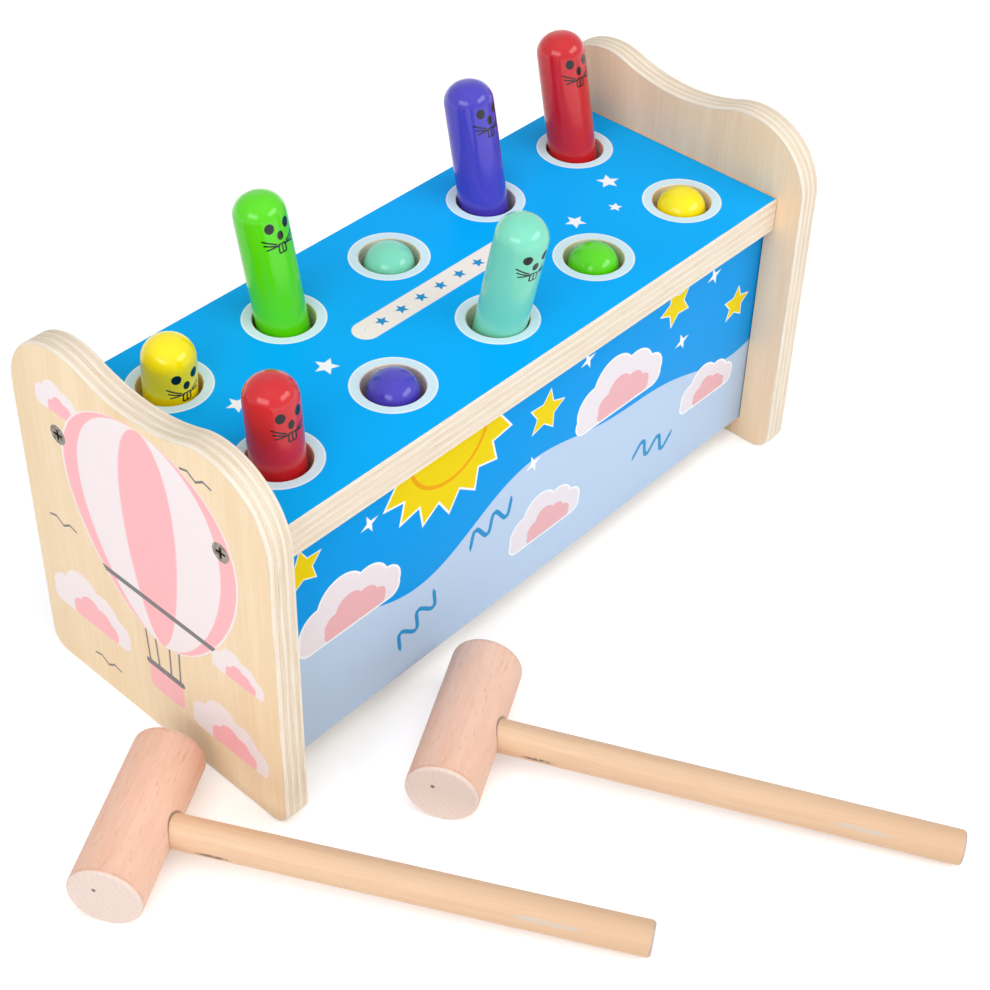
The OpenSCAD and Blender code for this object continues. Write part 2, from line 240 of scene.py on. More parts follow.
class Sheet:
    """The node tree of a material or a world."""

    def __init__(self, owner: Union[Material, bpy.types.World]) -> None:
        """Empties the owner's node tree.

        Args:
            owner: The material or the world.
        """
        owner.use_nodes = True
        self.owner = owner
        self.tree = owner.node_tree
        self.tree.nodes.clear()

    @classmethod
    def material(cls, name: str) -> "Sheet":
        """A sheet on a new material."""
        return cls(bpy.data.materials.new(name))

    def node(
        self,
        kind: str,
        settings: Optional[dict[str, object]] = None,
        sockets: Optional[dict[Union[str, int], object]] = None,
        output: Union[str, int] = 0,
    ) -> Optional[Value]:
        """Adds a node.

        Args:
            kind: The node's type without its ShaderNode prefix.
            settings: Properties that are set first, such as a Math node's operation.
            sockets: Values or links of input sockets, by name or number.
            output: Name or number of the output that is given back.

        Returns:
            The chosen output, or None for a node that has none.
        """
        made = self.tree.nodes.new("ShaderNode" + kind)
        for name, value in (settings or {}).items():
            setattr(made, name, value)
        for key, value in (sockets or {}).items():
            if isinstance(value, Value):
                self.tree.links.new(value.socket, made.inputs[key])
            else:
                made.inputs[key].default_value = value
        return Value(self, made.outputs[output]) if len(made.outputs) else None

    def math(self, operation: str, *terms: Number) -> Value:
        """A Math node on one to three terms."""
        return self.node("Math", {"operation": operation}, dict(enumerate(terms)))

    def vector(self) -> Value:
        """The piece's own coordinates, which are the frame's."""
        return self.node("TexCoord", None, None, "Object")

    def axes(self, vector: Value) -> tuple[Value, Value, Value]:
        """A vector's three parts."""
        split = self.node("SeparateXYZ", None, {0: vector})
        return split, split.output("Y"), split.output("Z")

    def mapped(self, vector: Value, place: Matrix = FRAME_PLACE, scale: Sequence[float] = (1, 1, 1)) -> Value:
        """Coordinates in a place of their own.

        Args:
            vector: Coordinates in the frame.
            place: Where the place's own zero and axes lie in the frame.
            scale: Stretch of the coordinates along the place's axes.

        Returns:
            The coordinates as seen from the place.
        """
        inward = place.inverted()
        sockets = {"Vector": vector, "Location": inward.translation, "Rotation": inward.to_euler("XYZ")}
        local = self.node("Mapping", None, sockets)
        if tuple(scale) == (1, 1, 1):
            return local
        return self.node("Mapping", None, {"Vector": local, "Scale": scale})

    def noise(self, vector: Value, scale: float, detail: float = 2.0, distortion: float = 0.0) -> Value:
        """Soft random values about one half."""
        sockets = {"Vector": vector, "Scale": scale, "Detail": detail, "Distortion": distortion}
        return self.node("TexNoise", None, sockets)

    def mix(self, factor: Number, below: Colour, above: Colour) -> Value:
        """A colour between two."""
        return self.node("Mix", {"data_type": "RGBA"}, {0: factor, 6: below, 7: above}, 2)

    def inside(self, distance: Value, soft: float = PRINT_SOFT) -> Value:
        """One inside a shape and zero outside, from a distance that is negative inside."""
        settings = {"operation": "MULTIPLY_ADD", "use_clamp": True}
        return self.node("Math", settings, {0: distance, 1: -0.5 / soft, 2: 0.5})

    def bump(self, height: Value, depth: float) -> Value:
        """A normal that follows a height from zero to one over a depth."""
        return self.node("Bump", None, {"Strength": 1.0, "Distance": depth, "Height": height})

    def surface(self, colour: Colour, roughness: Number, **more: object) -> Material:
        """Closes a material.

        Args:
            colour: Base colour.
            roughness: Roughness.
            **more: Other sockets of the shader, with _ for a space.

        Returns:
            The finished material.
        """
        sockets = {name.replace("_", " "): value for name, value in more.items()}
        shader = self.node("BsdfPrincipled", None, {"Base Color": colour, "Roughness": roughness, **sockets})
        self.node("OutputMaterial", None, {"Surface": shader})
        return self.owner


@dataclass(frozen=True)
class Drawing:
    """A flat page on which a shape is a distance that is negative inside it."""

    sheet: Sheet
    u: Value
    v: Value

    def at(self, u: float, v: float, turn: float = 0.0) -> "Drawing":
        """Moves the page to a place and turns it there.

        Args:
            u: The place along the page.
            v: The place across the page.
            turn: The turn in radians.

        Returns:
            The moved page.
        """
        du, dv = self.u - u, self.v - v
        if not turn:
            return Drawing(self.sheet, du, dv)
        cos, sin = math.cos(turn), math.sin(turn)
        return Drawing(self.sheet, du * cos + dv * sin, dv * cos - du * sin)

    def mirrored(self) -> "Drawing":
        """The page folded about its middle line, so that a shape shows on both sides."""
        return Drawing(self.sheet, abs(self.u), self.v)

    def repeated(self, pitch: float) -> "Drawing":
        """The page repeated along its length."""
        return Drawing(self.sheet, (self.u + pitch / 2) % pitch - pitch / 2, self.v)

    def reach(self) -> Value:
        """Distance from the page's zero."""
        flat = self.sheet.node("CombineXYZ", None, {0: self.u, 1: self.v})
        return self.sheet.node("VectorMath", {"operation": "LENGTH"}, {0: flat}, "Value")

    def disc(self, radius: float) -> Value:
        """A round dot."""
        return self.reach() - radius

    def oval(self, half_u: float, half_v: float) -> Value:
        """An ellipse."""
        round_page = Drawing(self.sheet, self.u / half_u, self.v / half_v)
        return (round_page.reach() - 1.0) * min(half_u, half_v)

    def slab(self, half_u: float, half_v: float, corner: float) -> Value:
        """Draws a rectangle with round corners.

        Args:
            half_u: Half of its length.
            half_v: Half of its width.
            corner: Radius of its corners.

        Returns:
            The shape's distance.
        """
        past_u = (abs(self.u) - (half_u - corner)).most(0.0)
        past_v = (abs(self.v) - (half_v - corner)).most(0.0)
        return Drawing(self.sheet, past_u, past_v).reach() - corner

    def stroke(self, end: Place, width: float) -> Value:
        """A straight line with round ends, from the page's zero."""
        along = ((self.u * end[0] + self.v * end[1]) / (end[0] ** 2 + end[1] ** 2)).clamped()
        return Drawing(self.sheet, self.u - along * end[0], self.v - along * end[1]).reach() - width / 2

    def star(self, points: int, tip: float, notch: float) -> Value:
        """Draws a star with one point along the page's length.

        Args:
            points: The number of its points.
            tip: Distance of a point from the middle.
            notch: Distance of a notch from the middle.

        Returns:
            The shape's distance.
        """
        half = math.pi / points
        angle = self.sheet.math("ARCTAN2", self.v, self.u)
        fold = abs((angle + half) % (2 * half) - half)
        side = Vector((notch * math.cos(half) - tip, notch * math.sin(half))).normalized()
        return self.reach() * (fold.call("COSINE") * side.y - fold.call("SINE") * side.x) - tip * side.y

    def wave(self, half_length: float, swing: float, length: float, width: float) -> Value:
        """Draws a wavy line.

        Args:
            half_length: Half of the line's length.
            swing: Height of a wave above the middle.
            length: Length of a wave.
            width: Width of the line.

        Returns:
            The shape's distance.
        """
        phase = self.u * (math.tau / length)
        slope = phase.call("COSINE") * (swing * math.tau / length)
        across = abs(self.v - phase.call("SINE") * swing) / (slope * slope + 1.0).call("SQRT")
        return (across - width / 2).most(abs(self.u) - half_length)

    def cloud(self, size: float) -> Value:
        """Draws a cloud of round puffs with a level underside.

        Args:
            size: Half of the cloud's width.

        Returns:
            The shape's distance.
        """
        drop, half = (share * size for share in CLOUD_BASE)
        shape = self.at(0.0, -drop).slab(size, half, half)
        for u, v, radius in PUFFS:
            shape = shape.least(self.at(u * size, v * size).disc(radius * size))
        return shape


class Print:
    """Inks laid over a colour, one after the other."""

    def __init__(self, sheet: Sheet, colour: Colour) -> None:
        """Starts from the bare surface's colour."""
        self.sheet = sheet
        self.colour = colour

    def lay(self, shape: Value, ink: Ink) -> None:
        """Fills a shape with an ink."""
        self.colour = self.sheet.mix(self.sheet.inside(shape), self.colour, ink.rgba)

    def lined(self, shape: Value, ink: Ink, width: float) -> None:
        """Fills a shape with an ink inside a white outline."""
        self.lay(shape - width, Ink.WHITE)
        self.lay(shape, ink)

    def cloud(
        self, page: Drawing, size: float, inks: tuple[Ink, Ink], core: Triple, halo: float = 0.0
    ) -> None:
        """Lays a cloud with a core of another ink.

        Args:
            page: The page, with its zero in the middle of the cloud.
            size: Half of the cloud's width.
            inks: The cloud's ink and its core's.
            core: Place and size of the core, in half-widths of the cloud.
            halo: Width of the white outline, or zero for none.
        """
        shape = page.cloud(size)
        if halo:
            self.lay(shape - halo, Ink.WHITE)
        self.lay(shape, inks[0])
        u, v, inner = (share * size for share in core)
        self.lay(page.at(u, v).cloud(inner).most(shape), inks[1])


@dataclass(frozen=True)
class Timber:
    """Bare wood with its grain along one of a place's axes."""

    pale: Ink
    deep: Ink
    along: Axis = Axis.Z
    place: Matrix = FRAME_PLACE
    figure: float = 70.0
    fibre: float = 900.0
    stretch: float = 0.05
    contrast: float = 1.0
    figure_detail: float = 4.0
    fibre_detail: float = 2.0
    waver: float = 0.6
    # Weights of the figure and the fibres in the tone, and its start
    tone: Triple = (1.6, 0.9, -0.75)
    rough_fibre: float = 0.12
    fibre_depth: float = 0.00006

    def grain(self, sheet: Sheet, scale: float, detail: float) -> Value:
        """Random values drawn out along the grain."""
        drawn = sheet.mapped(sheet.vector(), self.place, self.along.scales(self.stretch))
        return sheet.noise(drawn, scale, detail, self.waver)

    def colour(self, sheet: Sheet) -> tuple[Value, Value]:
        """Lays out the wood.

        Args:
            sheet: The material's sheet.

        Returns:
            The wood's colour, and its fibres as a height.
        """
        fibres = self.grain(sheet, self.fibre, self.fibre_detail)
        figure = self.grain(sheet, self.figure, self.figure_detail)
        of_figure, of_fibres, start = self.tone
        tone = (figure * of_figure + fibres.line(of_fibres, start)) * self.contrast
        return sheet.mix(tone.clamped(), self.pale.rgba, self.deep.rgba), fibres

    def make(self, name: str, roughness: float = 0.5) -> Material:
        """Makes the wood as a material of its own.

        Args:
            name: The material's name.
            roughness: Roughness between the fibres.

        Returns:
            The finished material.
        """
        sheet = Sheet.material(name)
        colour, fibres = self.colour(sheet)
        normal = sheet.bump(fibres, self.fibre_depth)
        return sheet.surface(colour, fibres.line(self.rough_fibre, roughness), Normal=normal)


@dataclass(frozen=True)
class PlyEdge:
    """The layered edge of plywood."""

    across: Axis
    start: float
    thickness: float
    plies: int
    contrast: float = 0.34
    wander_scale: float = 60.0
    # How far a layer wanders, in layers
    wander: float = 0.25
    # Scale of streaks and knots along the layers, and of knots across them
    stretch: float = 0.03
    knot_across: float = 0.5
    streak_scale: float = 2300.0
    streak_detail: float = 3.0
    pore_scale: float = 1500.0
    knot_scale: float = 900.0
    knot_ramp: Place = (9.0, -6.3)
    knot_share: float = 0.7
    # Half-width and blur of a glue line, in layers
    glue_half: float = 0.05
    glue_soft: float = 0.08
    # Weights of the streaks and the pores in the tone, and its start
    tone: Triple = (1.3, 0.5, -0.75)
    # Weights of the streaks and the pores in the height
    relief: Place = (0.6, 0.4)
    depth: float = 0.00008
    rough: Place = (0.15, 0.55)

    def make(self, name: str) -> Material:
        """Lays thin layers along the edge, pale and deep by turns, with glue lines between them.

        Args:
            name: The material's name.

        Returns:
            The finished material.
        """
        sheet = Sheet.material(name)
        vector = sheet.vector()
        level = (sheet.axes(vector)[self.across.value] - self.start) / (self.thickness / self.plies)
        layer = level + sheet.noise(vector, self.wander_scale).line(self.wander, -self.wander / 2)
        part = layer % 1.0
        turned = (layer % 2.0 - 1.0).call("SIGN").line(0.5, 0.5)
        drawn = sheet.mapped(vector, scale=self.across.scales(1.0, self.stretch))
        streaks = sheet.noise(drawn, self.streak_scale, self.streak_detail)
        pores = sheet.noise(vector, self.pore_scale)
        of_streaks, of_pores, start = self.tone
        tone = turned * self.contrast + streaks * of_streaks + pores.line(of_pores, start)
        colour = sheet.mix(tone.clamped(), Ink.PLY_PALE.rgba, Ink.PLY_DEEP.rgba)
        glue = sheet.inside(part.least(1.0 - part) - self.glue_half, self.glue_soft) * self.contrast
        colour = sheet.mix(glue, colour, Ink.GLUE.rgba)
        short = sheet.mapped(vector, scale=self.across.scales(self.knot_across, self.stretch))
        knots = sheet.noise(short, self.knot_scale).ramp(*self.knot_ramp)
        colour = sheet.mix(knots * self.knot_share, colour, Ink.KNOT.rgba)
        height = streaks * self.relief[0] + pores * self.relief[1] - glue
        return sheet.surface(colour, pores.line(*self.rough), Normal=sheet.bump(height, self.depth))


@dataclass(frozen=True)
class Film:
    """Printed film, whose ground colour drifts a little."""

    ground: Ink
    drift: Ink
    drift_share: float
    drift_scale: float
    grain_scale: float
    roughness: float
    rough_grain: float = 0.06
    specular: float = 0.07
    depth: float = 0.000012

    def start(self, sheet: Sheet) -> Print:
        """Starts a print on the ground colour."""
        drift = sheet.noise(sheet.vector(), self.drift_scale) * self.drift_share
        return Print(sheet, sheet.mix(drift, self.ground.rgba, self.drift.rgba))

    def close(self, ink: Print) -> Material:
        """Closes the material over a print.

        Args:
            ink: The finished print.

        Returns:
            The finished material.
        """
        sheet = ink.sheet
        grain = sheet.noise(sheet.vector(), self.grain_scale)
        normal = sheet.bump(grain, self.depth)
        roughness = grain.line(self.rough_grain, self.roughness)
        return sheet.surface(ink.colour, roughness, Specular_IOR_Level=self.specular, Normal=normal)


@dataclass(frozen=True)
class TopPrint:
    """Printed film of the top board: rings round the holes, stars, and a pale strip with a row of marks."""

    middle: Vector
    pitch: float
    row: float
    film: Film = Film(Ink.TOP_BLUE, Ink.FRONT_BLUE, 0.25, 9.0, 2600.0, 0.36)
    ring: float = 0.015
    rim_line: float = 0.0005
    strip_half: Place = (0.042, 0.0052)
    strip_v: float = 0.001
    # Place, point length and turn of each star
    stars: tuple[Quad, ...] = (
        (-0.0602, -0.0035, 0.0046, 0.5),
        (0.0641, -0.0072, 0.0042, 0.2),
        (0.0938, 0.0018, 0.0046, 0.9),
        (0.0821, -0.0115, 0.0028, 0.6),
        (-0.0943, 0.0027, 0.0042, 0.3),
    )
    star_points: int = 5
    notch_share: float = 0.46
    mark_pitch: float = 0.0098
    mark_tip: float = 0.0027
    mark_turn: float = 0.3

    def star(self, page: Drawing, tip: float) -> Value:
        """A star of the board's own shape."""
        return page.star(self.star_points, tip, tip * self.notch_share)

    def make(self) -> Material:
        """Lays the inks over the blue film.

        Returns:
            The finished material.
        """
        sheet = Sheet.material("top_print")
        x, y, _ = sheet.axes(sheet.mapped(sheet.vector(), Matrix.Translation(self.middle)))
        page = Drawing(sheet, x, y)
        ink = self.film.start(sheet)
        holes = Drawing(sheet, x, abs(y) - self.row).repeated(self.pitch)
        ink.lined(holes.disc(self.ring - self.rim_line), Ink.ICE, self.rim_line)
        strip = page.at(0.0, self.strip_v)
        half_u, half_v = self.strip_half
        ink.lay(strip.slab(half_u, half_v, half_v), Ink.STRIP)
        marks = strip.repeated(self.mark_pitch).at(0.0, 0.0, self.mark_turn)
        ends = abs(strip.u) - (half_u - self.mark_pitch / 2)
        ink.lay(self.star(marks, self.mark_tip).most(ends), Ink.CURL)
        for u, v, tip, turn in self.stars:
            ink.lay(self.star(page.at(u, v, turn), tip), Ink.WHITE)
        return self.film.close(ink)


@dataclass(frozen=True)
class SkyPrint:
    """Printed sky of the long boards: a sun, clouds, stars and curls over a pale wavy ground."""

    middle: Vector
    side: int
    height: float
    film: Film = Film(Ink.FRONT_BLUE, Ink.TOP_BLUE, 0.3, 8.0, 2400.0, 0.4)
    ground_share: float = 0.52
    # Height, length and start of each swell of the ground
    swells: tuple[Triple, ...] = ((0.0085, 0.172, 0.9), (0.004, 0.093, 2.4))
    sun: Place = (-0.046, 0.0965)
    sun_points: int = 16
    sun_tip: float = 0.033
    sun_notch: float = 0.0255
    sun_disc: float = 0.0195
    halo: float = 0.0008
    # Place and size of each cloud
    clouds: tuple[Triple, ...] = (
        (-0.094, 0.052, 0.023),
        (0.006, 0.026, 0.019),
        (0.046, 0.064, 0.024),
        (0.103, 0.033, 0.016),
    )
    # Place and size of a cloud's core, in half-widths of the cloud
    core: Triple = (0.1, -0.16, 0.62)
    # Place, point length and turn of each yellow star
    stars: tuple[Quad, ...] = (
        (-0.114, 0.083, 0.0085, 0.4),
        (0.004, 0.078, 0.0092, 0.1),
        (0.077, 0.086, 0.0088, 0.7),
        (0.117, 0.066, 0.0075, 0.2),
    )
    star_points: int = 5
    notch_share: float = 0.5
    sparkles: tuple[Place, ...] = (
        (-0.084, 0.083),
        (-0.002, 0.0575),
        (0.026, 0.089),
        (0.1, 0.088),
        (0.083, 0.066),
    )
    sparkle_points: int = 4
    sparkle_tip: float = 0.0042
    sparkle_notch: float = 0.0013
    sparkle_turn: float = 0.3
    # Place and turn of each curl
    curls: tuple[Triple, ...] = ((-0.062, 0.022, 0.5), (0.07, 0.022, -0.3), (-0.024, 0.043, 0.2))
    # Half-length of a curl, height and length of its waves, and width of its line
    curl: Quad = (0.012, 0.0034, 0.0102, 0.0019)

    def make(self, name: str) -> Material:
        """Lays the inks over the blue film.

        Args:
            name: The material's name.

        Returns:
            The finished material.
        """
        sheet = Sheet.material(name)
        x, _, z = sheet.axes(sheet.mapped(sheet.vector(), Matrix.Translation(self.middle)))
        page = Drawing(sheet, x * -self.side, z)
        ink = self.film.start(sheet)
        ground = page.v - self.height * self.ground_share
        for swing, length, start in self.swells:
            ground = ground - page.u.line(math.tau / length, start).call("SINE") * swing
        ink.lay(ground, Ink.FRONT_PALE)
        sun = page.at(*self.sun)
        ink.lined(sun.star(self.sun_points, self.sun_tip, self.sun_notch), Ink.LEMON, self.halo)
        ink.lay(sun.disc(self.sun_disc), Ink.AMBER)
        ink.lay(sun.disc(self.sun_disc - 2 * self.halo), Ink.LEMON)
        for u, v, size in self.clouds:
            ink.cloud(page.at(u, v), size, (Ink.CLOUD, Ink.BLUSH), self.core, self.halo)
        for u, v, tip, turn in self.stars:
            star = page.at(u, v, turn).star(self.star_points, tip, tip * self.notch_share)
            ink.lined(star, Ink.LEMON, self.halo / 2)
        for u, v in self.sparkles:
            place = page.at(u, v, self.sparkle_turn)
            ink.lay(place.star(self.sparkle_points, self.sparkle_tip, self.sparkle_notch), Ink.WHITE)
        for u, v, turn in self.curls:
            ink.lay(page.at(u, v, turn).wave(*self.curl), Ink.CURL)
        return self.film.close(ink)


@dataclass(frozen=True)
class PanelPrint:
    """Print on an end panel's bare wood: a striped balloon among clouds."""

    middle: Vector
    side: int
    balloon: Place = (0.004, 0.094)
    half_wide: float = 0.042
    half_high: float = 0.047
    taper: float = 0.24
    gores: float = 5.0
    gore_edge: float = 0.002
    belt_share: float = 0.62
    belt_half: float = 0.0012
    basket_drop: float = 0.067
    basket_half: Place = (0.0088, 0.0062)
    basket_corner: float = 0.0028
    lip_past: float = 0.0012
    lip_half: float = 0.0014
    # Upper and lower place of each pair of ropes, and how far they reach into the envelope
    ropes: tuple[Place, ...] = ((0.009, 0.0075), (0.004, 0.0028))
    rope_rise: float = 0.01
    line: float = 0.0009
    # Place and size of each cloud
    clouds: tuple[Triple, ...] = (
        (-0.036, 0.036, 0.021),
        (0.036, 0.026, 0.019),
        (-0.037, 0.128, 0.0125),
        (0.043, 0.062, 0.0125),
    )
    # Place and size of a cloud's core, in half-widths of the cloud
    core: Triple = (0.1, -0.17, 0.58)
    birds: tuple[Place, ...] = ((-0.045, 0.07), (0.031, 0.137), (-0.03, 0.012))
    # Reach of the inner and the outer half of a bird's wing
    wing: tuple[Place, Place] = ((0.0036, 0.0024), (0.0034, -0.001))
    rough: Place = (0.12, 0.42)
    depth: float = 0.00005

    def make(self, name: str) -> Material:
        """Lays the inks over the wood, which shows between them.

        Args:
            name: The material's name.

        Returns:
            The finished material.
        """
        sheet = Sheet.material(name)
        wood, fibres = Timber(Ink.VENEER_PALE, Ink.VENEER_DEEP).colour(sheet)
        _, y, z = sheet.axes(sheet.mapped(sheet.vector(), Matrix.Translation(self.middle)))
        page = Drawing(sheet, y * self.side, z)
        ink = Print(sheet, wood)
        for u, v, size in self.clouds:
            ink.cloud(page.at(u, v), size, (Ink.PETAL, Ink.ROSE), self.core)
        self.lay_balloon(ink, page.at(*self.balloon))
        inner, outer = self.wing
        for u, v in self.birds:
            bird = page.at(u, v).mirrored()
            wing = bird.stroke(inner, self.line).least(bird.at(*inner).stroke(outer, self.line))
            ink.lay(wing, Ink.SLATE)
        return sheet.surface(ink.colour, fibres.line(*self.rough), Normal=sheet.bump(fibres, self.depth))

    def lay_balloon(self, ink: Print, page: Drawing) -> None:
        """Lays the ropes, the basket and the envelope with its coloured gores.

        Args:
            ink: The print so far.
            page: The page, with its zero in the middle of the envelope.
        """
        rope_top = self.rope_rise - self.half_high
        for start, end in self.ropes:
            rope = page.mirrored().at(start, rope_top)
            ink.lay(rope.stroke((end - start, -rope_top - self.basket_drop), self.line), Ink.SLATE)
        basket = page.at(0.0, -self.basket_drop)
        half_u, half_v = self.basket_half
        ink.lay(basket.slab(half_u, half_v, self.basket_corner), Ink.ROSE)
        lip = basket.at(0.0, half_v).slab(half_u + self.lip_past, self.lip_half, self.lip_half)
        ink.lay(lip, Ink.SLATE)
        level = (page.v / self.half_high).most(-1.0).least(1.0)
        width = (1.0 - level * level).call("SQRT") * (level * self.taper + 1.0) * self.half_wide
        shell = abs(page.u) - width
        ink.lay(shell, Ink.PETAL)
        turned = (page.u / width.most(TOUCH)).most(-1.0).least(1.0).call("ARCSINE")
        gore = (turned * self.gores).call("COSINE") * -self.gore_edge
        ink.lay(gore.most(shell + self.line), Ink.ROSE)
        belt = abs(page.v + self.belt_share * self.half_high) - self.belt_half
        ink.lay(belt.most(shell), Ink.SLATE)


@dataclass(frozen=True)
class PegPaint:
    """Gloss paint of a peg, with a small animal face printed round its front."""

    ink: Ink
    place: Matrix
    radius: float
    eye: Place = (0.0036, -0.0102)
    eye_half: Place = (0.00175, 0.0019)
    nose_v: float = -0.0137
    nose_half: Place = (0.0013, 0.0017)
    tooth_v: float = -0.0183
    tooth_half: Place = (0.0015, 0.0016)
    tooth_corner: float = 0.0004
    line: float = 0.0006
    # Start and reach of each whisker
    whiskers: tuple[tuple[Place, Place], ...] = (
        ((0.0022, -0.0163), (0.0047, 0.0021)),
        ((0.0011, -0.0173), (0.0053, 0.0014)),
        ((0.0018, -0.0171), (0.0039, -0.0006)),
    )
    shade_share: float = 0.82
    cloud_scale: float = 45.0
    cloud_detail: float = 3.0
    cloud_ramp: Place = (0.8, -0.2)
    peel_scale: float = 420.0
    depth: float = 0.00002
    rough: Place = (0.05, 0.17)
    specular: float = 0.32
    coat: float = 0.25
    coat_rough: float = 0.08

    def make(self, name: str) -> Material:
        """Lays the face over the paint. The place's Z runs up the peg from its tip, and X faces forwards.

        Args:
            name: The material's name.

        Returns:
            The finished material.
        """
        sheet = Sheet.material(name)
        vector = sheet.vector()
        front, left, up = sheet.axes(sheet.mapped(vector, self.place))
        page = Drawing(sheet, sheet.math("ARCTAN2", left, front) * self.radius, up)
        both = page.mirrored()
        cloudy = sheet.noise(vector, self.cloud_scale, self.cloud_detail).ramp(*self.cloud_ramp)
        shade = (*(self.shade_share * part for part in self.ink.rgba[:3]), 1.0)
        paint = Print(sheet, sheet.mix(cloudy, self.ink.rgba, shade))
        teeth = page.at(0.0, self.tooth_v)
        height = self.tooth_half[1]
        outline = abs(teeth.slab(*self.tooth_half, self.tooth_corner)) - self.line / 2
        split = teeth.at(0.0, -height).stroke((0.0, 2 * height), self.line)
        shapes = [
            both.at(*self.eye).oval(*self.eye_half),
            page.at(0.0, self.nose_v).oval(*self.nose_half),
            outline.least(split),
        ]
        shapes += [both.at(*start).stroke(reach, self.line) for start, reach in self.whiskers]
        for shape in shapes:
            paint.lay(shape, Ink.BLACK)
        peel = sheet.noise(vector, self.peel_scale)
        normal = sheet.bump(peel, self.depth)
        return sheet.surface(paint.colour, peel.line(*self.rough), Specular_IOR_Level=self.specular,
                             Coat_Weight=self.coat, Coat_Roughness=self.coat_rough, Normal=normal)


@dataclass(frozen=True)
class BeechSide:
    """Turned beech with short flecks, a darker patchy ring near each end, and painted shade round the handle
    where it enters.
    """

    place: Matrix
    half_length: float
    socket: float
    # Figure, fibre and stretch of the grain
    grain: Triple = (90.0, 700.0, 0.1)
    fleck_scale: float = 1100.0
    fleck_detail: float = 1.0
    fleck_stretch: float = 0.22
    fleck_ramp: Place = (6.0, -3.6)
    fleck_share: float = 0.38
    rim_inset: float = 0.0014
    rim_half: float = 0.0004
    rim_soft: float = 0.0005
    rim_share: float = 0.65
    patch_scale: float = 160.0
    patch: Place = (2.0, -0.5)
    gap_shade_soft: float = 0.0002
    # Painted shade round the handle: the darkness that it gains towards its top, and that it has all round
    gap_shade_gain: Place = (0.6, 0.25)
    fleck_relief: float = 0.5
    depth: float = 0.00006
    rough: Place = (0.1, 0.5)

    def make(self, name: str) -> Material:
        """Lays the grain along the place's Z. The handle runs along its X, and its Y points up.

        Args:
            name: The material's name.

        Returns:
            The finished material.
        """
        sheet = Sheet.material(name)
        timber = Timber(Ink.BEECH_PALE, Ink.BEECH_DEEP, Axis.Z, self.place, *self.grain)
        colour, fibres = timber.colour(sheet)
        local = sheet.mapped(sheet.vector(), self.place)
        x, y, z = sheet.axes(local)
        drawn = sheet.mapped(local, scale=Axis.Z.scales(self.fleck_stretch))
        flecks = sheet.noise(drawn, self.fleck_scale, self.fleck_detail)
        colour = sheet.mix(flecks.ramp(*self.fleck_ramp) * self.fleck_share, colour, Ink.BEECH_FLECK.rgba)
        patchy = sheet.noise(local, self.patch_scale).line(*self.patch)
        # A darker patchy ring near each end of the head
        from_rim = abs(abs(z) - (self.half_length - self.rim_inset))
        rim = (sheet.inside(from_rim - self.rim_half, self.rim_soft) * patchy).clamped()
        colour = sheet.mix(rim * self.rim_share, colour, Ink.BEECH_FLECK.rgba)
        # Painted shade in the opening round the handle, darker towards its top
        painted_gap_shade = sheet.inside(Drawing(sheet, y, z).disc(self.socket), self.gap_shade_soft).least(sheet.inside(-x))
        dark = (y / self.socket).clamped().line(*self.gap_shade_gain)
        colour = sheet.mix(painted_gap_shade * dark, colour, Ink.STREAK.rgba)
        height = fibres - flecks * self.fleck_relief
        return sheet.surface(colour, fibres.line(*self.rough), Normal=sheet.bump(height, self.depth))


@dataclass(frozen=True)
class EndGrain:
    """The sawn end of a turned stick, which may have the lathe's centre mark."""

    place: Matrix
    pale: Ink
    deep: Ink
    mark: Optional[Place] = None
    mark_r: float = 0.0007
    mark_soft: float = 0.0003
    pith: Place = (0.021, 0.013)
    # Growth rings, in radians to a metre
    rings: float = 2600.0
    waver_scale: float = 220.0
    waver: float = 3.0
    pore_scale: float = 1700.0
    # Weights of the rings and the pores in the tone, and its start
    tone: Triple = (0.07, 0.7, -0.05)
    depth: float = 0.00005
    rough: Place = (0.1, 0.62)

    def make(self, name: str) -> Material:
        """Lays growth rings across the place's Z, about a far-off pith.

        Args:
            name: The material's name.

        Returns:
            The finished material.
        """
        sheet = Sheet.material(name)
        local = sheet.mapped(sheet.vector(), self.place)
        x, y, _ = sheet.axes(local)
        page = Drawing(sheet, x, y)
        pores = sheet.noise(local, self.pore_scale)
        waver = sheet.noise(local, self.waver_scale) * self.waver
        rings = (page.at(*self.pith).reach() * self.rings + waver).call("SINE")
        of_rings, of_pores, start = self.tone
        tone = rings * of_rings + pores.line(of_pores, start)
        colour = sheet.mix(tone.clamped(), self.pale.rgba, self.deep.rgba)
        if self.mark:
            dot = sheet.inside(page.at(*self.mark).disc(self.mark_r), self.mark_soft)
            colour = sheet.mix(dot, colour, Ink.STREAK.rgba)
        return sheet.surface(colour, pores.line(*self.rough), Normal=sheet.bump(pores, self.depth))


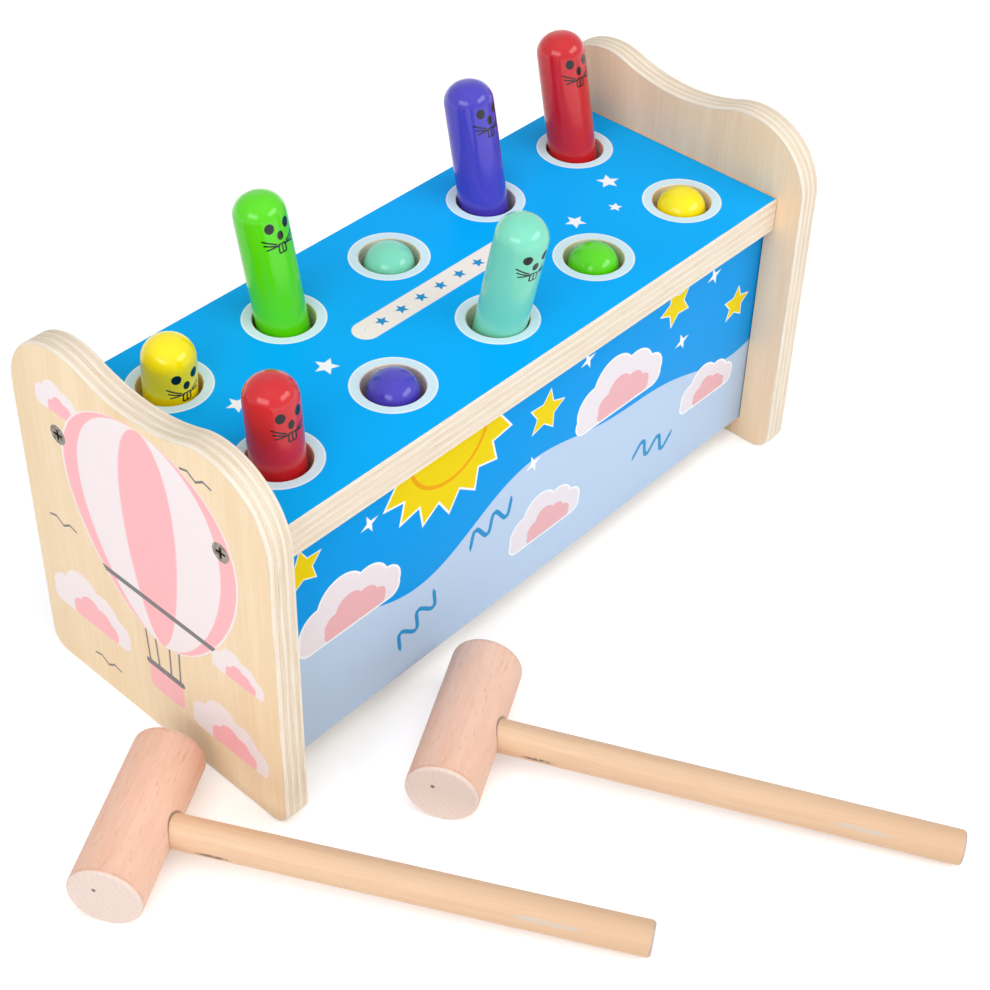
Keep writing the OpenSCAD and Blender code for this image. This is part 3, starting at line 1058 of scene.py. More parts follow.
@dataclass(frozen=True)
class StickSide:
    """A turned handle of pale wood with long grain, a dark streak near its head, a scuff near its end and
    painted shade towards that end.
    """

    place: Matrix
    contrast: float = 0.9
    # Painted shade that darkens the handle towards its far end
    far_end_shade: Place = (6.5, -0.25)
    far_end_shade_share: float = 0.7
    # Start, end, turn, half-width in radians, strength and ink of each mark
    marks: tuple[tuple[float, float, float, float, float, Ink], ...] = (
        (0.022, 0.033, -1.42, 0.13, 1.0, Ink.STREAK),
        (0.127, 0.149, -2.1, 0.16, 0.6, Ink.SCUFF),
    )
    mark_soft: float = 0.0016
    patch_scale: float = 700.0
    patch_ramp: Place = (4.0, -1.1)
    depth: float = 0.00005
    rough: Place = (0.1, 0.46)

    def make(self, name: str) -> Material:
        """Lays the grain along the place's Z, which runs along the handle from the middle of the head.

        Args:
            name: The material's name.

        Returns:
            The finished material.
        """
        sheet = Sheet.material(name)
        timber = Timber(Ink.STICK_PALE, Ink.STICK_DEEP, Axis.Z, self.place, *STICK_GRAIN, self.contrast)
        colour, fibres = timber.colour(sheet)
        x, y, z = sheet.axes(sheet.mapped(sheet.vector(), self.place))
        # Painted shade, darker towards the handle's far end
        colour = sheet.mix(z.ramp(*self.far_end_shade) * self.far_end_shade_share, colour, Ink.STICK_DEEP.rgba)
        page = Drawing(sheet, z, sheet.math("ARCTAN2", y, x))
        patchy = sheet.noise(sheet.vector(), self.patch_scale).ramp(*self.patch_ramp)
        for start, end, turn, half, strength, ink in self.marks:
            oval = page.at((start + end) / 2, turn).oval((end - start) / 2, half)
            colour = sheet.mix(sheet.inside(oval, self.mark_soft) * patchy * strength, colour, ink.rgba)
        return sheet.surface(colour, fibres.line(*self.rough), Normal=sheet.bump(fibres, self.depth))


@dataclass(frozen=True)
class Zinc:
    """Zinc-plated steel, dulled in patches."""

    patch_scale: float = 800.0
    patch_detail: float = 3.0
    dull: Place = (2.4, -0.75)
    rough: Place = (0.25, 0.22)

    def make(self) -> Material:
        """Makes a bright metal with soft tarnish.

        Returns:
            The finished material.
        """
        sheet = Sheet.material("zinc_steel")
        patches = sheet.noise(sheet.vector(), self.patch_scale, self.patch_detail)
        colour = sheet.mix(patches.ramp(*self.dull), Ink.ZINC.rgba, Ink.TARNISH.rgba)
        return sheet.surface(colour, patches.line(*self.rough), Metallic=1.0)


@dataclass(frozen=True)
class Webbing:
    """Woven strap with its yarns along and across its own map."""

    yarn: float = 0.0011
    fuzz_scale: float = 2500.0
    # Weights of the weave and the fuzz in the tone, and its start
    tone: Triple = (0.8, 0.3, -0.05)
    depth: float = 0.0003
    rough: Place = (0.1, 0.8)

    def make(self) -> Material:
        """Makes a plain weave, on the strap's map in metres.

        Returns:
            The finished material.
        """
        sheet = Sheet.material("webbing")
        u, v, _ = sheet.axes(sheet.node("UVMap", {"uv_map": "strap"}))
        warp, weft = ((way * (math.pi / self.yarn)).call("SINE") for way in (u, v))
        over = (warp * weft).line(0.5, 0.5)
        fuzz = sheet.noise(sheet.vector(), self.fuzz_scale)
        of_weave, of_fuzz, start = self.tone
        tone = over * of_weave + fuzz.line(of_fuzz, start)
        colour = sheet.mix(tone.clamped(), Ink.YARN_SHADE.rgba, Ink.YARN.rgba)
        return sheet.surface(colour, fuzz.line(*self.rough), Normal=sheet.bump(over, self.depth))


class Workpiece:
    """A mesh in the making, with the operators that the pieces are shaped by."""

    def __init__(self) -> None:
        """Starts with nothing."""
        self.bm = bmesh.new()

    def wire(self, points: Iterable[Sequence[float]], closed: bool = False) -> Edges:
        """Draws straight edges through points.

        Args:
            points: The points in order.
            closed: Whether the last point joins the first.

        Returns:
            The new edges.
        """
        verts = [self.bm.verts.new(point) for point in points]
        ends = verts[1:] + verts[:1] if closed else verts[1:]
        return [self.bm.edges.new(pair) for pair in zip(verts, ends)]

    def lathe(self, section: Sequence[Triple], centre: Place = (0.0, 0.0)) -> None:
        """Spins a half-section about an upright axis.

        Args:
            section: Radius, height and corner rounding of each point.
            centre: Place of the axis.
        """
        edges = self.wire((centre[0] + radius, centre[1], height) for radius, height, _ in section)
        verts = [edges[0].verts[0]] + [edge.verts[1] for edge in edges]
        for vert, (_, _, rounding) in zip(verts, section):
            if rounding:
                bmesh.ops.bevel(self.bm, geom=[vert], offset=rounding, offset_type="OFFSET",
                                segments=CORNER_STEPS, profile=0.5, affect="VERTICES", material=-1)
        loose = [part for part in (*self.bm.verts, *self.bm.edges) if not part.link_faces]
        bmesh.ops.spin(self.bm, geom=loose, cent=(*centre, 0.0), axis=(0, 0, 1), angle=math.tau,
                       steps=LATHE_STEPS, use_merge=True)

    def stick(self, span: Place, radius: float, ease: float, place: Matrix) -> None:
        """Turns a round stick.

        Args:
            span: Its two ends along the place's Z.
            radius: Its radius.
            ease: Rounding of the edges of its ends.
            place: Where it lies.
        """
        start, end = span
        self.lathe(((0.0, start, 0.0), (radius, start, ease), (radius, end, ease), (0.0, end, 0.0)))
        self.place(place)

    def sweep(self, vert: bmesh.types.BMVert, centre: Vector, angle: float, steps: int) -> bmesh.types.BMVert:
        """Draws an arc from a vertex about an axis along X, and gives the arc's end."""
        spun = bmesh.ops.spin(self.bm, geom=[vert], cent=centre, axis=(1, 0, 0), angle=angle, steps=steps)
        return next(part for part in spun["geom_last"] if isinstance(part, bmesh.types.BMVert))

    def pull(self, edges: Iterable[bmesh.types.BMEdge], step: Vector) -> Edges:
        """Extrudes edges.

        Args:
            edges: The edges.
            step: How far they are moved.

        Returns:
            The new edges.
        """
        grown = bmesh.ops.extrude_edge_only(self.bm, edges=list(edges))["geom"]
        verts = {part for part in grown if isinstance(part, bmesh.types.BMVert)}
        bmesh.ops.translate(self.bm, verts=list(verts), vec=step)
        new_edges = [part for part in grown if isinstance(part, bmesh.types.BMEdge)]
        return [edge for edge in new_edges if verts.issuperset(edge.verts)]

    def bridge(self, loops: Sequence[Edges]) -> None:
        """Joins each loop of edges to the next with faces."""
        for first, second in zip(loops, loops[1:]):
            bmesh.ops.bridge_loops(self.bm, edges=first + second)

    def fill(self, edges: Edges, normal: Vector) -> None:
        """Closes a flat outline, and leaves the holes that lie in it open."""
        bmesh.ops.triangle_fill(self.bm, use_beauty=True, use_dissolve=False, edges=edges, normal=normal)

    def pocket(self, edges: Edges, depth: Vector) -> None:
        """Sinks a closed loop of edges and gives it a floor."""
        bmesh.ops.contextual_create(self.bm, geom=self.pull(edges, depth))

    def circle(self, centre: Vector, radius: float) -> Edges:
        """Draws an upright circle across the bench's length.

        Args:
            centre: Its middle.
            radius: Its radius.

        Returns:
            Its edges.
        """
        place = Matrix.Translation(centre) @ LYING
        made = bmesh.ops.create_circle(self.bm, cap_ends=False, segments=HOLE_STEPS, radius=radius,
                                       matrix=place)
        return list({edge for vert in made["verts"] for edge in vert.link_edges})

    def rim(self, axis: Axis, level: float) -> Edges:
        """The open edges that lie at a level along an axis."""
        open_edges = [edge for edge in self.bm.edges if edge.is_boundary or edge.is_wire]
        return [edge for edge in open_edges if all(abs(v.co[axis.value] - level) < TOUCH for v in edge.verts)]

    def cut(self, tool: "Workpiece") -> None:
        """Takes a tool's shape out of the mesh, by way of two short-lived objects.

        Args:
            tool: The mesh that is taken out, which is used up.
        """
        blank, shape = self.finish("blank", ()), tool.finish("tool", ())
        blank.modifiers.new("cut", "BOOLEAN").object = shape
        self.bm = bmesh.new()
        self.bm.from_object(blank, bpy.context.evaluated_depsgraph_get())
        for spent in (blank, shape):
            bpy.data.objects.remove(spent)

    def place(self, matrix: Matrix) -> None:
        """Moves and turns the whole mesh."""
        bmesh.ops.transform(self.bm, matrix=matrix, verts=self.bm.verts[:])

    def finish(
        self,
        name: str,
        materials: Sequence[Material],
        choose: Chooser = lambda face: 0,
        closed: bool = True,
    ) -> bpy.types.Object:
        """Turns the mesh into an object.

        Args:
            name: The piece's name.
            materials: The piece's materials.
            choose: Gives the number of a face's material.
            closed: Whether the mesh is a solid, whose faces are turned outwards.

        Returns:
            The new object, at the origin.
        """
        bmesh.ops.remove_doubles(self.bm, verts=self.bm.verts[:], dist=TOUCH)
        if closed:
            bmesh.ops.recalc_face_normals(self.bm, faces=self.bm.faces[:])
        for face in self.bm.faces:
            face.material_index = choose(face)
        mesh = bpy.data.meshes.new(name)
        self.bm.to_mesh(mesh)
        self.bm.free()
        for material in materials:
            mesh.materials.append(material)
        mesh.shade_smooth()
        mesh.set_sharp_from_angle(angle=CRISP)
        piece = bpy.data.objects.new(name, mesh)
        bpy.context.scene.collection.objects.link(piece)
        return piece


def seat(piece: bpy.types.Object, body: str, slot: str, *nodes: str) -> None:
    """Makes a piece ride on a body in place of CAD nodes, and reports it.

    Args:
        piece: The finished piece.
        body: The body that it moves with.
        slot: The record's material slot; not used.
        *nodes: The CAD nodes that it stands for.
    """
    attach(piece, body)
    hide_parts(*nodes)
    LOG.info("%s rides on %s", piece.name, body)


def board_faces(axis: Axis, printed: float, bare: float) -> Chooser:
    """Makes a chooser for a board with a printed face, layered edges and a bare face.

    Args:
        axis: The axis across the board.
        printed: Level of the printed face.
        bare: Level of the bare face.

    Returns:
        A function that gives 0 for the printed face, 2 for the bare face and 1 for the rest.
    """

    def choose(face: bmesh.types.BMFace) -> int:
        """Tells a face by the level of its middle."""
        level = face.calc_center_median()[axis.value]
        return 0 if abs(level - printed) < TOUCH else 2 if abs(level - bare) < TOUCH else 1

    return choose


def screw_places(screws: str) -> tuple[list[Place], float]:
    """Finds the two screws of a node.

    Args:
        screws: The CAD node.

    Returns:
        The Y and Z of each screw's axis, and the radius of the heads.
    """
    low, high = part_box(screws)
    head_r = (high.z - low.z) / 2
    return [(y, low.z + head_r) for y in (low.y + head_r, high.y - head_r)], head_r


@dataclass
class EndPanel:
    """A plywood end panel with two shoulders, a dip between them and round feet."""

    name: str
    node: str
    screws: str
    side: int
    shoulder_r: float = 0.028
    dip_depth: float = 0.0065
    foot_r: float = 0.008
    ease: float = 0.0009
    ease_steps: int = 4
    arc_steps: int = 32
    plies: int = 7
    screw_d: float = 0.004
    seam: float = 0.0004
    inner_rough: float = 0.42

    def __post_init__(self) -> None:
        """Reads the panel's box, and works out the arcs of its outline."""
        self.low, self.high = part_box(self.node)
        self.mid_y = (self.low.y + self.high.y) / 2
        self.half_w = (self.high.y - self.low.y) / 2
        self.outer_x, self.inner_x = (self.low.x, self.high.x) if self.side < 0 else (self.high.x, self.low.x)
        self.shoulder_y = self.half_w - self.shoulder_r
        self.shoulder_z = self.high.z - self.shoulder_r
        drop = self.shoulder_r - self.dip_depth
        self.dip_r = (self.shoulder_y ** 2 + drop ** 2 - self.shoulder_r ** 2) / (2 * self.dip_depth)
        self.blend = math.atan2(drop + self.dip_r, -self.shoulder_y)

    def outline(self, work: Workpiece, x: float, inset: float) -> Edges:
        """Draws the outline at a place across the panel.

        Args:
            work: The mesh in the making.
            x: Place along the bench.
            inset: How far the outline is drawn in.

        Returns:
            The outline's edges.
        """
        foot_y, dip_z = self.half_w - self.foot_r, self.high.z - self.dip_depth + self.dip_r
        # Centre, turn and starting point of each arc, counter-clockwise from the lower right corner
        arcs = (
            ((foot_y, self.foot_r), math.pi / 2, (foot_y, inset)),
            ((self.shoulder_y, self.shoulder_z), self.blend, (self.half_w - inset, self.shoulder_z)),
            ((0.0, dip_z), math.pi - 2 * self.blend, None),
            ((-self.shoulder_y, self.shoulder_z), self.blend, None),
            ((-foot_y, self.foot_r), math.pi / 2, (inset - self.half_w, self.foot_r)),
        )
        pen = first = None
        for (y, z), turn, start in arcs:
            if start:
                begin = work.bm.verts.new((x, self.mid_y + start[0], start[1]))
                if pen:
                    work.bm.edges.new((pen, begin))
                pen = begin
            first = first or pen
            pen = work.sweep(pen, Vector((x, self.mid_y + y, z)), turn, self.arc_steps)
        work.bm.edges.new((pen, first))
        return [edge for edge in work.rim(Axis.X, x) if edge.is_wire]

    def build(self) -> Workpiece:
        """Bridges eased outlines, and fills the faces round the screw holes and the inner pockets.

        Returns:
            The panel's mesh.
        """
        work = Workpiece()
        inward = -self.side
        turns = [math.pi / 2 * i / self.ease_steps for i in range(self.ease_steps + 1)]
        eased = [(self.ease * (1 - math.cos(turn)), self.ease * (1 - math.sin(turn))) for turn in turns]
        rows = [(self.outer_x + inward * depth, inset) for depth, inset in eased]
        rows += [(self.inner_x - inward * depth, inset) for depth, inset in reversed(eased)]
        work.bridge([self.outline(work, x, inset) for x, inset in rows])
        self.drill(work, inward)
        self.sink(work, inward)
        work.fill(work.rim(Axis.X, self.outer_x), Vector((-inward, 0, 0)))
        work.fill(work.rim(Axis.X, self.inner_x), Vector((inward, 0, 0)))
        return work

    def drill(self, work: Workpiece, inward: int) -> None:
        """Makes the countersunk screw holes.

        Args:
            work: The panel's mesh.
            inward: 1 where the bench lies to the right of the panel, and -1 where it lies to the left.
        """
        places, head_r = screw_places(self.screws)
        mouth_r, shank_r = head_r + FIT_GAP, self.screw_d / 2 + FIT_GAP
        neck_x = self.outer_x + inward * (mouth_r - shank_r)
        sections = ((self.outer_x, mouth_r), (neck_x, shank_r), (self.inner_x, shank_r))
        for y, z in places:
            work.bridge([work.circle(Vector((x, y, z)), radius) for x, radius in sections])

    def sink(self, work: Workpiece, inward: int) -> None:
        """Makes the seat of the strap bar and the grooves of the long boards in the inner face.

        Args:
            work: The panel's mesh.
            inward: 1 where the bench lies to the right of the panel, and -1 where it lies to the left.
        """
        low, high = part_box("strap_bar")
        seat_edge = work.circle(Vector((self.inner_x, (low.y + high.y) / 2, (low.z + high.z) / 2)),
                                (high.z - low.z) / 2 + FIT_GAP)
        pockets = [(seat_edge, low, high)]
        for board in ("front_board", "back_board"):
            low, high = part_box(board)
            front, back = low.y - self.seam, high.y + self.seam
            corners = ((front, low.z), (back, low.z), (back, high.z), (front, high.z))
            groove = work.wire(((self.inner_x, y, z) for y, z in corners), closed=True)
            pockets.append((groove, low, high))
        for edges, low, high in pockets:
            end = low.x if self.side < 0 else high.x
            work.pocket(edges, Vector((end - self.inner_x - inward * FIT_GAP, 0, 0)))

    def dress(self) -> None:
        """Gives the panel a printed outer face, a bare inner face and layered edges."""
        floor_middle = Vector((self.outer_x, self.mid_y, 0.0))
        materials = (
            PanelPrint(floor_middle, self.side).make(self.name + "_print"),
            PlyEdge(Axis.X, self.low.x, self.high.x - self.low.x, self.plies).make(self.name + "_edge"),
            # The inner veneer is partly painted light, brightened against the shade on the inner face
            Timber(Ink.VENEER_WARM, Ink.VENEER_TAN).make(self.name + "_veneer", self.inner_rough),
        )
        choose = board_faces(Axis.X, self.outer_x, self.inner_x)
        seat(self.build().finish(self.name, materials, choose), BENCH, "birch_ply", self.node)


@dataclass(frozen=True)
class PegPlace:
    """Where a peg stands, read from its CAD node and its joint."""

    node: str
    body: str

    @property
    def axis(self) -> Vector:
        """Direction from the peg's lower end to its tip."""
        return Vector(JOINTS[self.body]["axis"]).normalized()

    def frame(self) -> tuple[Matrix, float, float]:
        """Measures the peg along and across its axis.

        Returns:
            A place with its zero at the peg's tip, Z along the axis and X forwards, then the peg's length
            and its radius.
        """
        up = self.axis
        front = Vector((0, -1, 0))
        front = (front - up * front.dot(up)).normalized()
        left = up.cross(front)
        spans = []
        for way in (front, left, up):
            levels = [vert.co.dot(way) for vert in NODES[self.node].data.vertices]
            spans.append((min(levels), max(levels)))
        across_front, across_left, along = spans
        tip = front * (sum(across_front) / 2) + left * (sum(across_left) / 2) + up * along[1]
        turn = Matrix((front, left, up)).transposed().to_4x4()
        return Matrix.Translation(tip) @ turn, along[1] - along[0], (across_left[1] - across_left[0]) / 2


@dataclass
class Peg:
    """A round-ended painted peg with a small face."""

    row: str
    colour: Ink
    face_turn: float = 0.0
    dome: float = 0.008
    chamfer: float = 0.001
    bore_d: float = 0.0022
    bore_depth: float = 0.0121

    def __post_init__(self) -> None:
        """Reads the peg's place."""
        self.hue = self.colour.name.lower()
        self.spot = PegPlace(f"{self.row}_peg_{self.hue}", f"{self.row}_{self.hue}_peg")
        self.place, self.length, self.radius = self.spot.frame()

    def at_height(self, z: float) -> Vector:
        """The point of the peg's axis at a height."""
        tip = self.place.translation
        return tip + self.spot.axis * ((z - tip.z) / self.spot.axis.z)

    def dress(self) -> None:
        """Turns the peg on the lathe, puts it in its hole and paints it."""
        foot = -self.length
        section = (
            (0.0, foot + self.bore_depth, 0.0),
            (self.bore_d / 2, foot + self.bore_depth, 0.0),
            (self.bore_d / 2, foot, 0.0),
            (self.radius, foot, self.chamfer),
            (self.radius, 0.0, self.dome),
            (0.0, 0.0, 0.0),
        )
        work = Workpiece()
        work.lathe(section)
        work.place(self.place)
        face = self.place @ Matrix.Rotation(math.radians(self.face_turn), 4, "Z")
        name = f"{self.row}_{self.hue}_painted_peg"
        paint = PegPaint(self.colour, face, self.radius).make(name)
        seat(work.finish(name, [paint]), self.spot.body, f"peg_{self.hue}", self.spot.node)


@dataclass
class TopBoard:
    """The plywood top board with its printed face, ten peg holes and four screw holes."""

    pegs: Sequence[Peg]
    node: str = "top_board"
    hole_r: float = 0.0112
    ease: float = 0.0004
    seam: float = 0.0004
    plies: int = 9
    edge_contrast: float = 0.2
    screw_d: float = 0.004
    bore_past: float = 0.001

    def __post_init__(self) -> None:
        """Reads the board's box and the places of its holes."""
        self.low, self.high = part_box(self.node)
        spots = [peg.at_height((self.low.z + self.high.z) / 2) for peg in self.pegs]
        self.holes = [(spot.x, spot.y) for spot in spots]

    def rectangle(self, work: Workpiece, z: float, inset: float) -> Edges:
        """Draws the board's outline at a height.

        Args:
            work: The mesh in the making.
            z: The height.
            inset: How far the outline is drawn in.

        Returns:
            The outline's edges.
        """
        left, right = self.low.x + self.seam + inset, self.high.x - self.seam - inset
        front, back = self.low.y + inset, self.high.y - inset
        corners = ((left, front), (right, front), (right, back), (left, back))
        return work.wire(((x, y, z) for x, y in corners), closed=True)

    def build(self) -> Workpiece:
        """Turns the hole walls with eased rims, bridges the eased sides, fills the two faces and drills.

        Returns:
            The board's mesh.
        """
        work = Workpiece()
        top, bottom = self.high.z, self.low.z
        rim = self.hole_r + 2 * self.ease
        wall = (
            (rim, top, 0.0),
            (self.hole_r, top, self.ease),
            (self.hole_r, bottom, self.ease),
            (rim, bottom, 0.0),
        )
        for centre in self.holes:
            work.lathe(wall, centre)
        levels = ((top, self.ease), (top - self.ease, 0.0), (bottom + self.ease, 0.0), (bottom, self.ease))
        work.bridge([self.rectangle(work, z, inset) for z, inset in levels])
        work.fill(work.rim(Axis.Z, top), Vector((0, 0, 1)))
        work.fill(work.rim(Axis.Z, bottom), Vector((0, 0, -1)))
        self.drill(work)
        return work

    def drill(self, work: Workpiece) -> None:
        """Bores the screws' holes into the two ends.

        Args:
            work: The board's mesh.
        """
        radius = self.screw_d / 2 + FIT_GAP
        for screws in SCREWS:
            low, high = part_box(screws)
            for y, z in screw_places(screws)[0]:
                bit = Workpiece()
                span = (low.x - self.bore_past, high.x + self.bore_past)
                bit.stick(span, radius, 0.0, Matrix.Translation((0.0, y, z)) @ LYING)
                work.cut(bit)

    def dress(self) -> None:
        """Prints the upper face, and leaves the underside bare and the edges layered."""
        left, right = (way(x for x, _ in self.holes) for way in (min, max))
        front, back = (way(y for _, y in self.holes) for way in (min, max))
        pitch = (right - left) / (len(self.holes) / 2 - 1)
        centre = Vector(((left + right) / 2, (front + back) / 2, self.high.z))
        layers = PlyEdge(Axis.Z, self.low.z, self.high.z - self.low.z, self.plies, self.edge_contrast)
        materials = (
            TopPrint(centre, pitch, (back - front) / 2).make(),
            layers.make("top_edge"),
            Timber(Ink.VENEER_PALE, Ink.VENEER_DEEP, Axis.X).make("top_underside"),
        )
        choose = board_faces(Axis.Z, self.high.z, self.low.z)
        seat(self.build().finish("printed_top", materials, choose), BENCH, "blue_board", self.node)


@dataclass
class LongBoard:
    """A thin board between the end panels, printed on its outer face."""

    name: str
    node: str
    side: int
    ease: float = 0.0004
    ease_steps: int = 2
    plies: int = 3

    def dress(self) -> None:
        """Cuts the board with eased edges, and prints its outer face."""
        low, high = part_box(self.node)
        size = high - low
        work = Workpiece()
        bmesh.ops.create_cube(work.bm, size=1.0)
        work.place(Matrix.Translation((low + high) / 2) @ Matrix.Diagonal((*size, 1.0)))
        bmesh.ops.bevel(work.bm, geom=work.bm.edges[:], offset=self.ease, offset_type="OFFSET",
                        segments=self.ease_steps, profile=0.5, affect="EDGES", material=-1)
        outer_y, inner_y = (low.y, high.y) if self.side < 0 else (high.y, low.y)
        floor_middle = Vector(((low.x + high.x) / 2, outer_y, low.z))
        materials = (
            SkyPrint(floor_middle, self.side, size.z).make(self.name + "_print"),
            PlyEdge(Axis.Y, low.y, size.y, self.plies).make(self.name + "_edge"),
            Timber(Ink.VENEER_PALE, Ink.VENEER_DEEP, Axis.X).make(self.name + "_inside"),
        )
        choose = board_faces(Axis.Y, outer_y, inner_y)
        seat(work.finish(self.name, materials, choose), BENCH, "sky_board", self.node)


@dataclass
class Strap:
    """A woven strap over the bar, made as a half for each of its two pegs."""

    number: int
    back: Peg
    front: Peg
    webbing: Material
    width: float = 0.014
    thickness: float = 0.0012
    tail: float = 0.005
    wrap_steps: int = 10
    run_steps: int = 28
    tail_steps: int = 6

    def dress(self) -> None:
        """Makes the two halves, which meet on top of the bar."""
        for side, peg in ((1, self.back), (-1, self.front)):
            self.half(side, peg)

    def half(self, side: int, peg: Peg) -> None:
        """Lays a half from the bar's top, down to its peg and under the peg's lower end.

        Args:
            side: 1 for the back row and -1 for the front row.
            peg: The peg that hangs on it.
        """
        bar_low, bar_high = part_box("strap_bar")
        bar = Vector((peg.place.translation.x, (bar_low.y + bar_high.y) / 2, (bar_low.z + bar_high.z) / 2))
        lift = FIT_GAP + self.thickness / 2
        wrap_r = (bar_high.z - bar_low.z) / 2 + lift
        up = peg.spot.axis
        inward = Vector((0, -side * up.z, side * up.y))
        under = peg.place.translation - up * (peg.length + lift)
        corner = under + inward * (peg.radius + lift)
        end = under - inward * self.tail
        run = corner - bar
        leave = math.atan2(run.z, side * run.y) + math.acos(wrap_r / run.length)
        tangent = bar + Vector((0, side * wrap_r * math.cos(leave), wrap_r * math.sin(leave)))

        work = Workpiece()
        top = bar + Vector((0, 0, wrap_r))
        across = Vector((self.width / 2, 0, 0))
        edge = work.wire((top - across, top + across))
        spun = bmesh.ops.spin(work.bm, geom=[*edge[0].verts, *edge], cent=bar, axis=(1, 0, 0),
                              angle=-side * (math.pi / 2 - leave), steps=self.wrap_steps)
        edge = [part for part in spun["geom_last"] if isinstance(part, bmesh.types.BMEdge)]
        for start, stop, steps in ((tangent, corner, self.run_steps), (corner, end, self.tail_steps)):
            for _ in range(steps):
                edge = work.pull(edge, (stop - start) / steps)
        length = self.chart(work, bar.x)
        name = f"strap_{self.number}_{peg.row}"
        piece = work.finish(name, [self.webbing], closed=False)
        shell = piece.modifiers.new("thickness", "SOLIDIFY")
        shell.thickness = self.thickness
        shell.offset = 0.0
        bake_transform(piece)
        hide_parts(f"strap_{self.number}")
        LOG.info("%s bends between %s and %s", name, BENCH, peg.spot.body)

    @staticmethod
    def chart(work: Workpiece, middle_x: float) -> float:
        """Gives the strap a map in metres.

        Args:
            work: The strap's mesh, made row by row along it with two points to a row.
            middle_x: Place of the strap's middle along the bench.

        Returns:
            The strap's length.
        """
        layer = work.bm.loops.layers.uv.new("strap")
        work.bm.verts.index_update()
        rows = [vert.co.yz for vert in work.bm.verts][::2]
        lengths = [0.0]
        for first, second in zip(rows, rows[1:]):
            lengths.append(lengths[-1] + (second - first).length)
        for face in work.bm.faces:
            for loop in face.loops:
                loop[layer].uv = (loop.vert.co.x - middle_x, lengths[loop.vert.index // 2])
        return lengths[-1]


@dataclass
class Mallet:
    """A mallet that lies on the floor: a turned head and a handle that droops to the floor."""

    number: int
    turn: float
    head_len: float = 0.062
    handle_d: float = 0.012
    handle_len: float = 0.172
    socket_past: float = 0.006
    ease: float = 0.0014
    # Share of an eased edge that has the look of the end
    end_share: float = 0.7
    # Width of the painted shade round the handle where it enters the head
    gap_shade_width: float = 0.0004
    centre_mark: Place = (-0.003, 0.0035)

    def __post_init__(self) -> None:
        """Reads the head's box, and works out the places of the head and the handle."""
        self.body = f"mallet_{self.number}"
        self.head_node = self.body + "_head"
        low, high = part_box(self.head_node)
        self.head_r = (high.z - low.z) / 2
        droop = math.asin((self.head_r - self.handle_d / 2) / self.handle_len)
        base = Matrix.Translation((low + high) / 2) @ Matrix.Rotation(-math.radians(self.turn), 4, "Z")
        self.head_place = base @ Matrix.Rotation(math.pi / 2, 4, "X")
        self.handle_place = base @ Matrix.Rotation(math.pi / 2 + droop, 4, "Y")

    def ends(self, span: Place, place: Matrix) -> Chooser:
        """Makes a chooser for a turned stick.

        Args:
            span: The stick's two ends along the place's Z.
            place: Where the stick lies.

        Returns:
            A function that gives 1 for the flat ends and 0 for the turned side.
        """
        inward = place.inverted()

        def choose(face: bmesh.types.BMFace) -> int:
            """Tells a face by its distance from the nearer end."""
            z = (inward @ face.calc_center_median()).z
            return int(min(abs(z - end) for end in span) < self.ease * self.end_share)

        return choose

    def dress(self) -> None:
        """Makes the head with its socket, and the handle."""
        half, handle_r = self.head_len / 2, self.handle_d / 2
        head_span, handle_span = (-half, half), (-self.socket_past, self.handle_len)
        head, socket, handle = Workpiece(), Workpiece(), Workpiece()
        head.stick(head_span, self.head_r, self.ease, self.head_place)
        socket_span = (-self.socket_past - FIT_GAP, 2 * self.head_r)
        socket.stick(socket_span, handle_r + FIT_GAP, self.ease, self.handle_place)
        head.cut(socket)
        handle.stick(handle_span, handle_r, self.ease, self.handle_place)
        end_grain = EndGrain(self.head_place, Ink.END_PALE, Ink.END_DEEP, self.centre_mark)
        materials = (
            BeechSide(self.head_place, half, handle_r + self.gap_shade_width).make(self.body + "_head_side"),
            end_grain.make(self.body + "_head_end"),
        )
        choose = self.ends(head_span, self.head_place)
        piece = head.finish(self.body + "_turned_head", materials, choose)
        seat(piece, self.body, "head_wood", self.head_node)
        materials = (
            StickSide(self.handle_place).make(self.body + "_handle_side"),
            EndGrain(self.handle_place, Ink.END_DEEP, Ink.SLATE).make(self.body + "_handle_end"),
        )
        choose = self.ends(handle_span, self.handle_place)
        piece = handle.finish(self.body + "_turned_handle", materials, choose)
        seat(piece, self.body, "handle_wood", self.body + "_handle")


@dataclass
class Hardware:
    """The screws, tacks and bar, which keep their CAD shapes."""

    columns: int

    def dress(self) -> None:
        """Gives the metal pieces zinc, and the bar its wood."""
        zinc = Zinc().make()
        tacks = [f"{row}_tack_{i + 1}" for row in ("back", "front") for i in range(self.columns)]
        for node in (*SCREWS, *tacks):
            self.coat(node, zinc, "zinc_steel")
        bar = Timber(Ink.STICK_PALE, Ink.STICK_DEEP, Axis.X, FRAME_PLACE, *STICK_GRAIN)
        self.coat("strap_bar", bar.make("bar_wood"), "bar_wood")

    @staticmethod
    def coat(node: str, material: Material, slot: str) -> None:
        """Puts a finish on a CAD node that stays.

        Args:
            node: The CAD node.
            material: The finish.
            slot: The record's material slot; not used.
        """
        piece = NODES[node]
        piece.data.materials.clear()
        piece.data.materials.append(material)
        LOG.info("%s keeps its shape", node)


@dataclass(frozen=True)
class SoftBox:
    """A soft studio light, with its place, the width and height of its face, and its power in watts."""

    name: str
    place: Triple
    size: Place
    power: float
    shiny: bool = True

    def hang(self, target: Triple) -> None:
        """Hangs the light.

        Args:
            target: The point that it faces.
        """
        data = bpy.data.lights.new(self.name, "AREA")
        data.shape = "RECTANGLE"
        data.size, data.size_y = self.size
        data.energy = self.power
        light = bpy.data.objects.new(self.name, data)
        light.location = self.place
        light.visible_glossy = self.shiny
        light.rotation_mode = "QUATERNION"
        light.rotation_quaternion = (Vector(target) - Vector(self.place)).to_track_quat("-Z", "Y")
        bpy.context.scene.collection.objects.link(light)


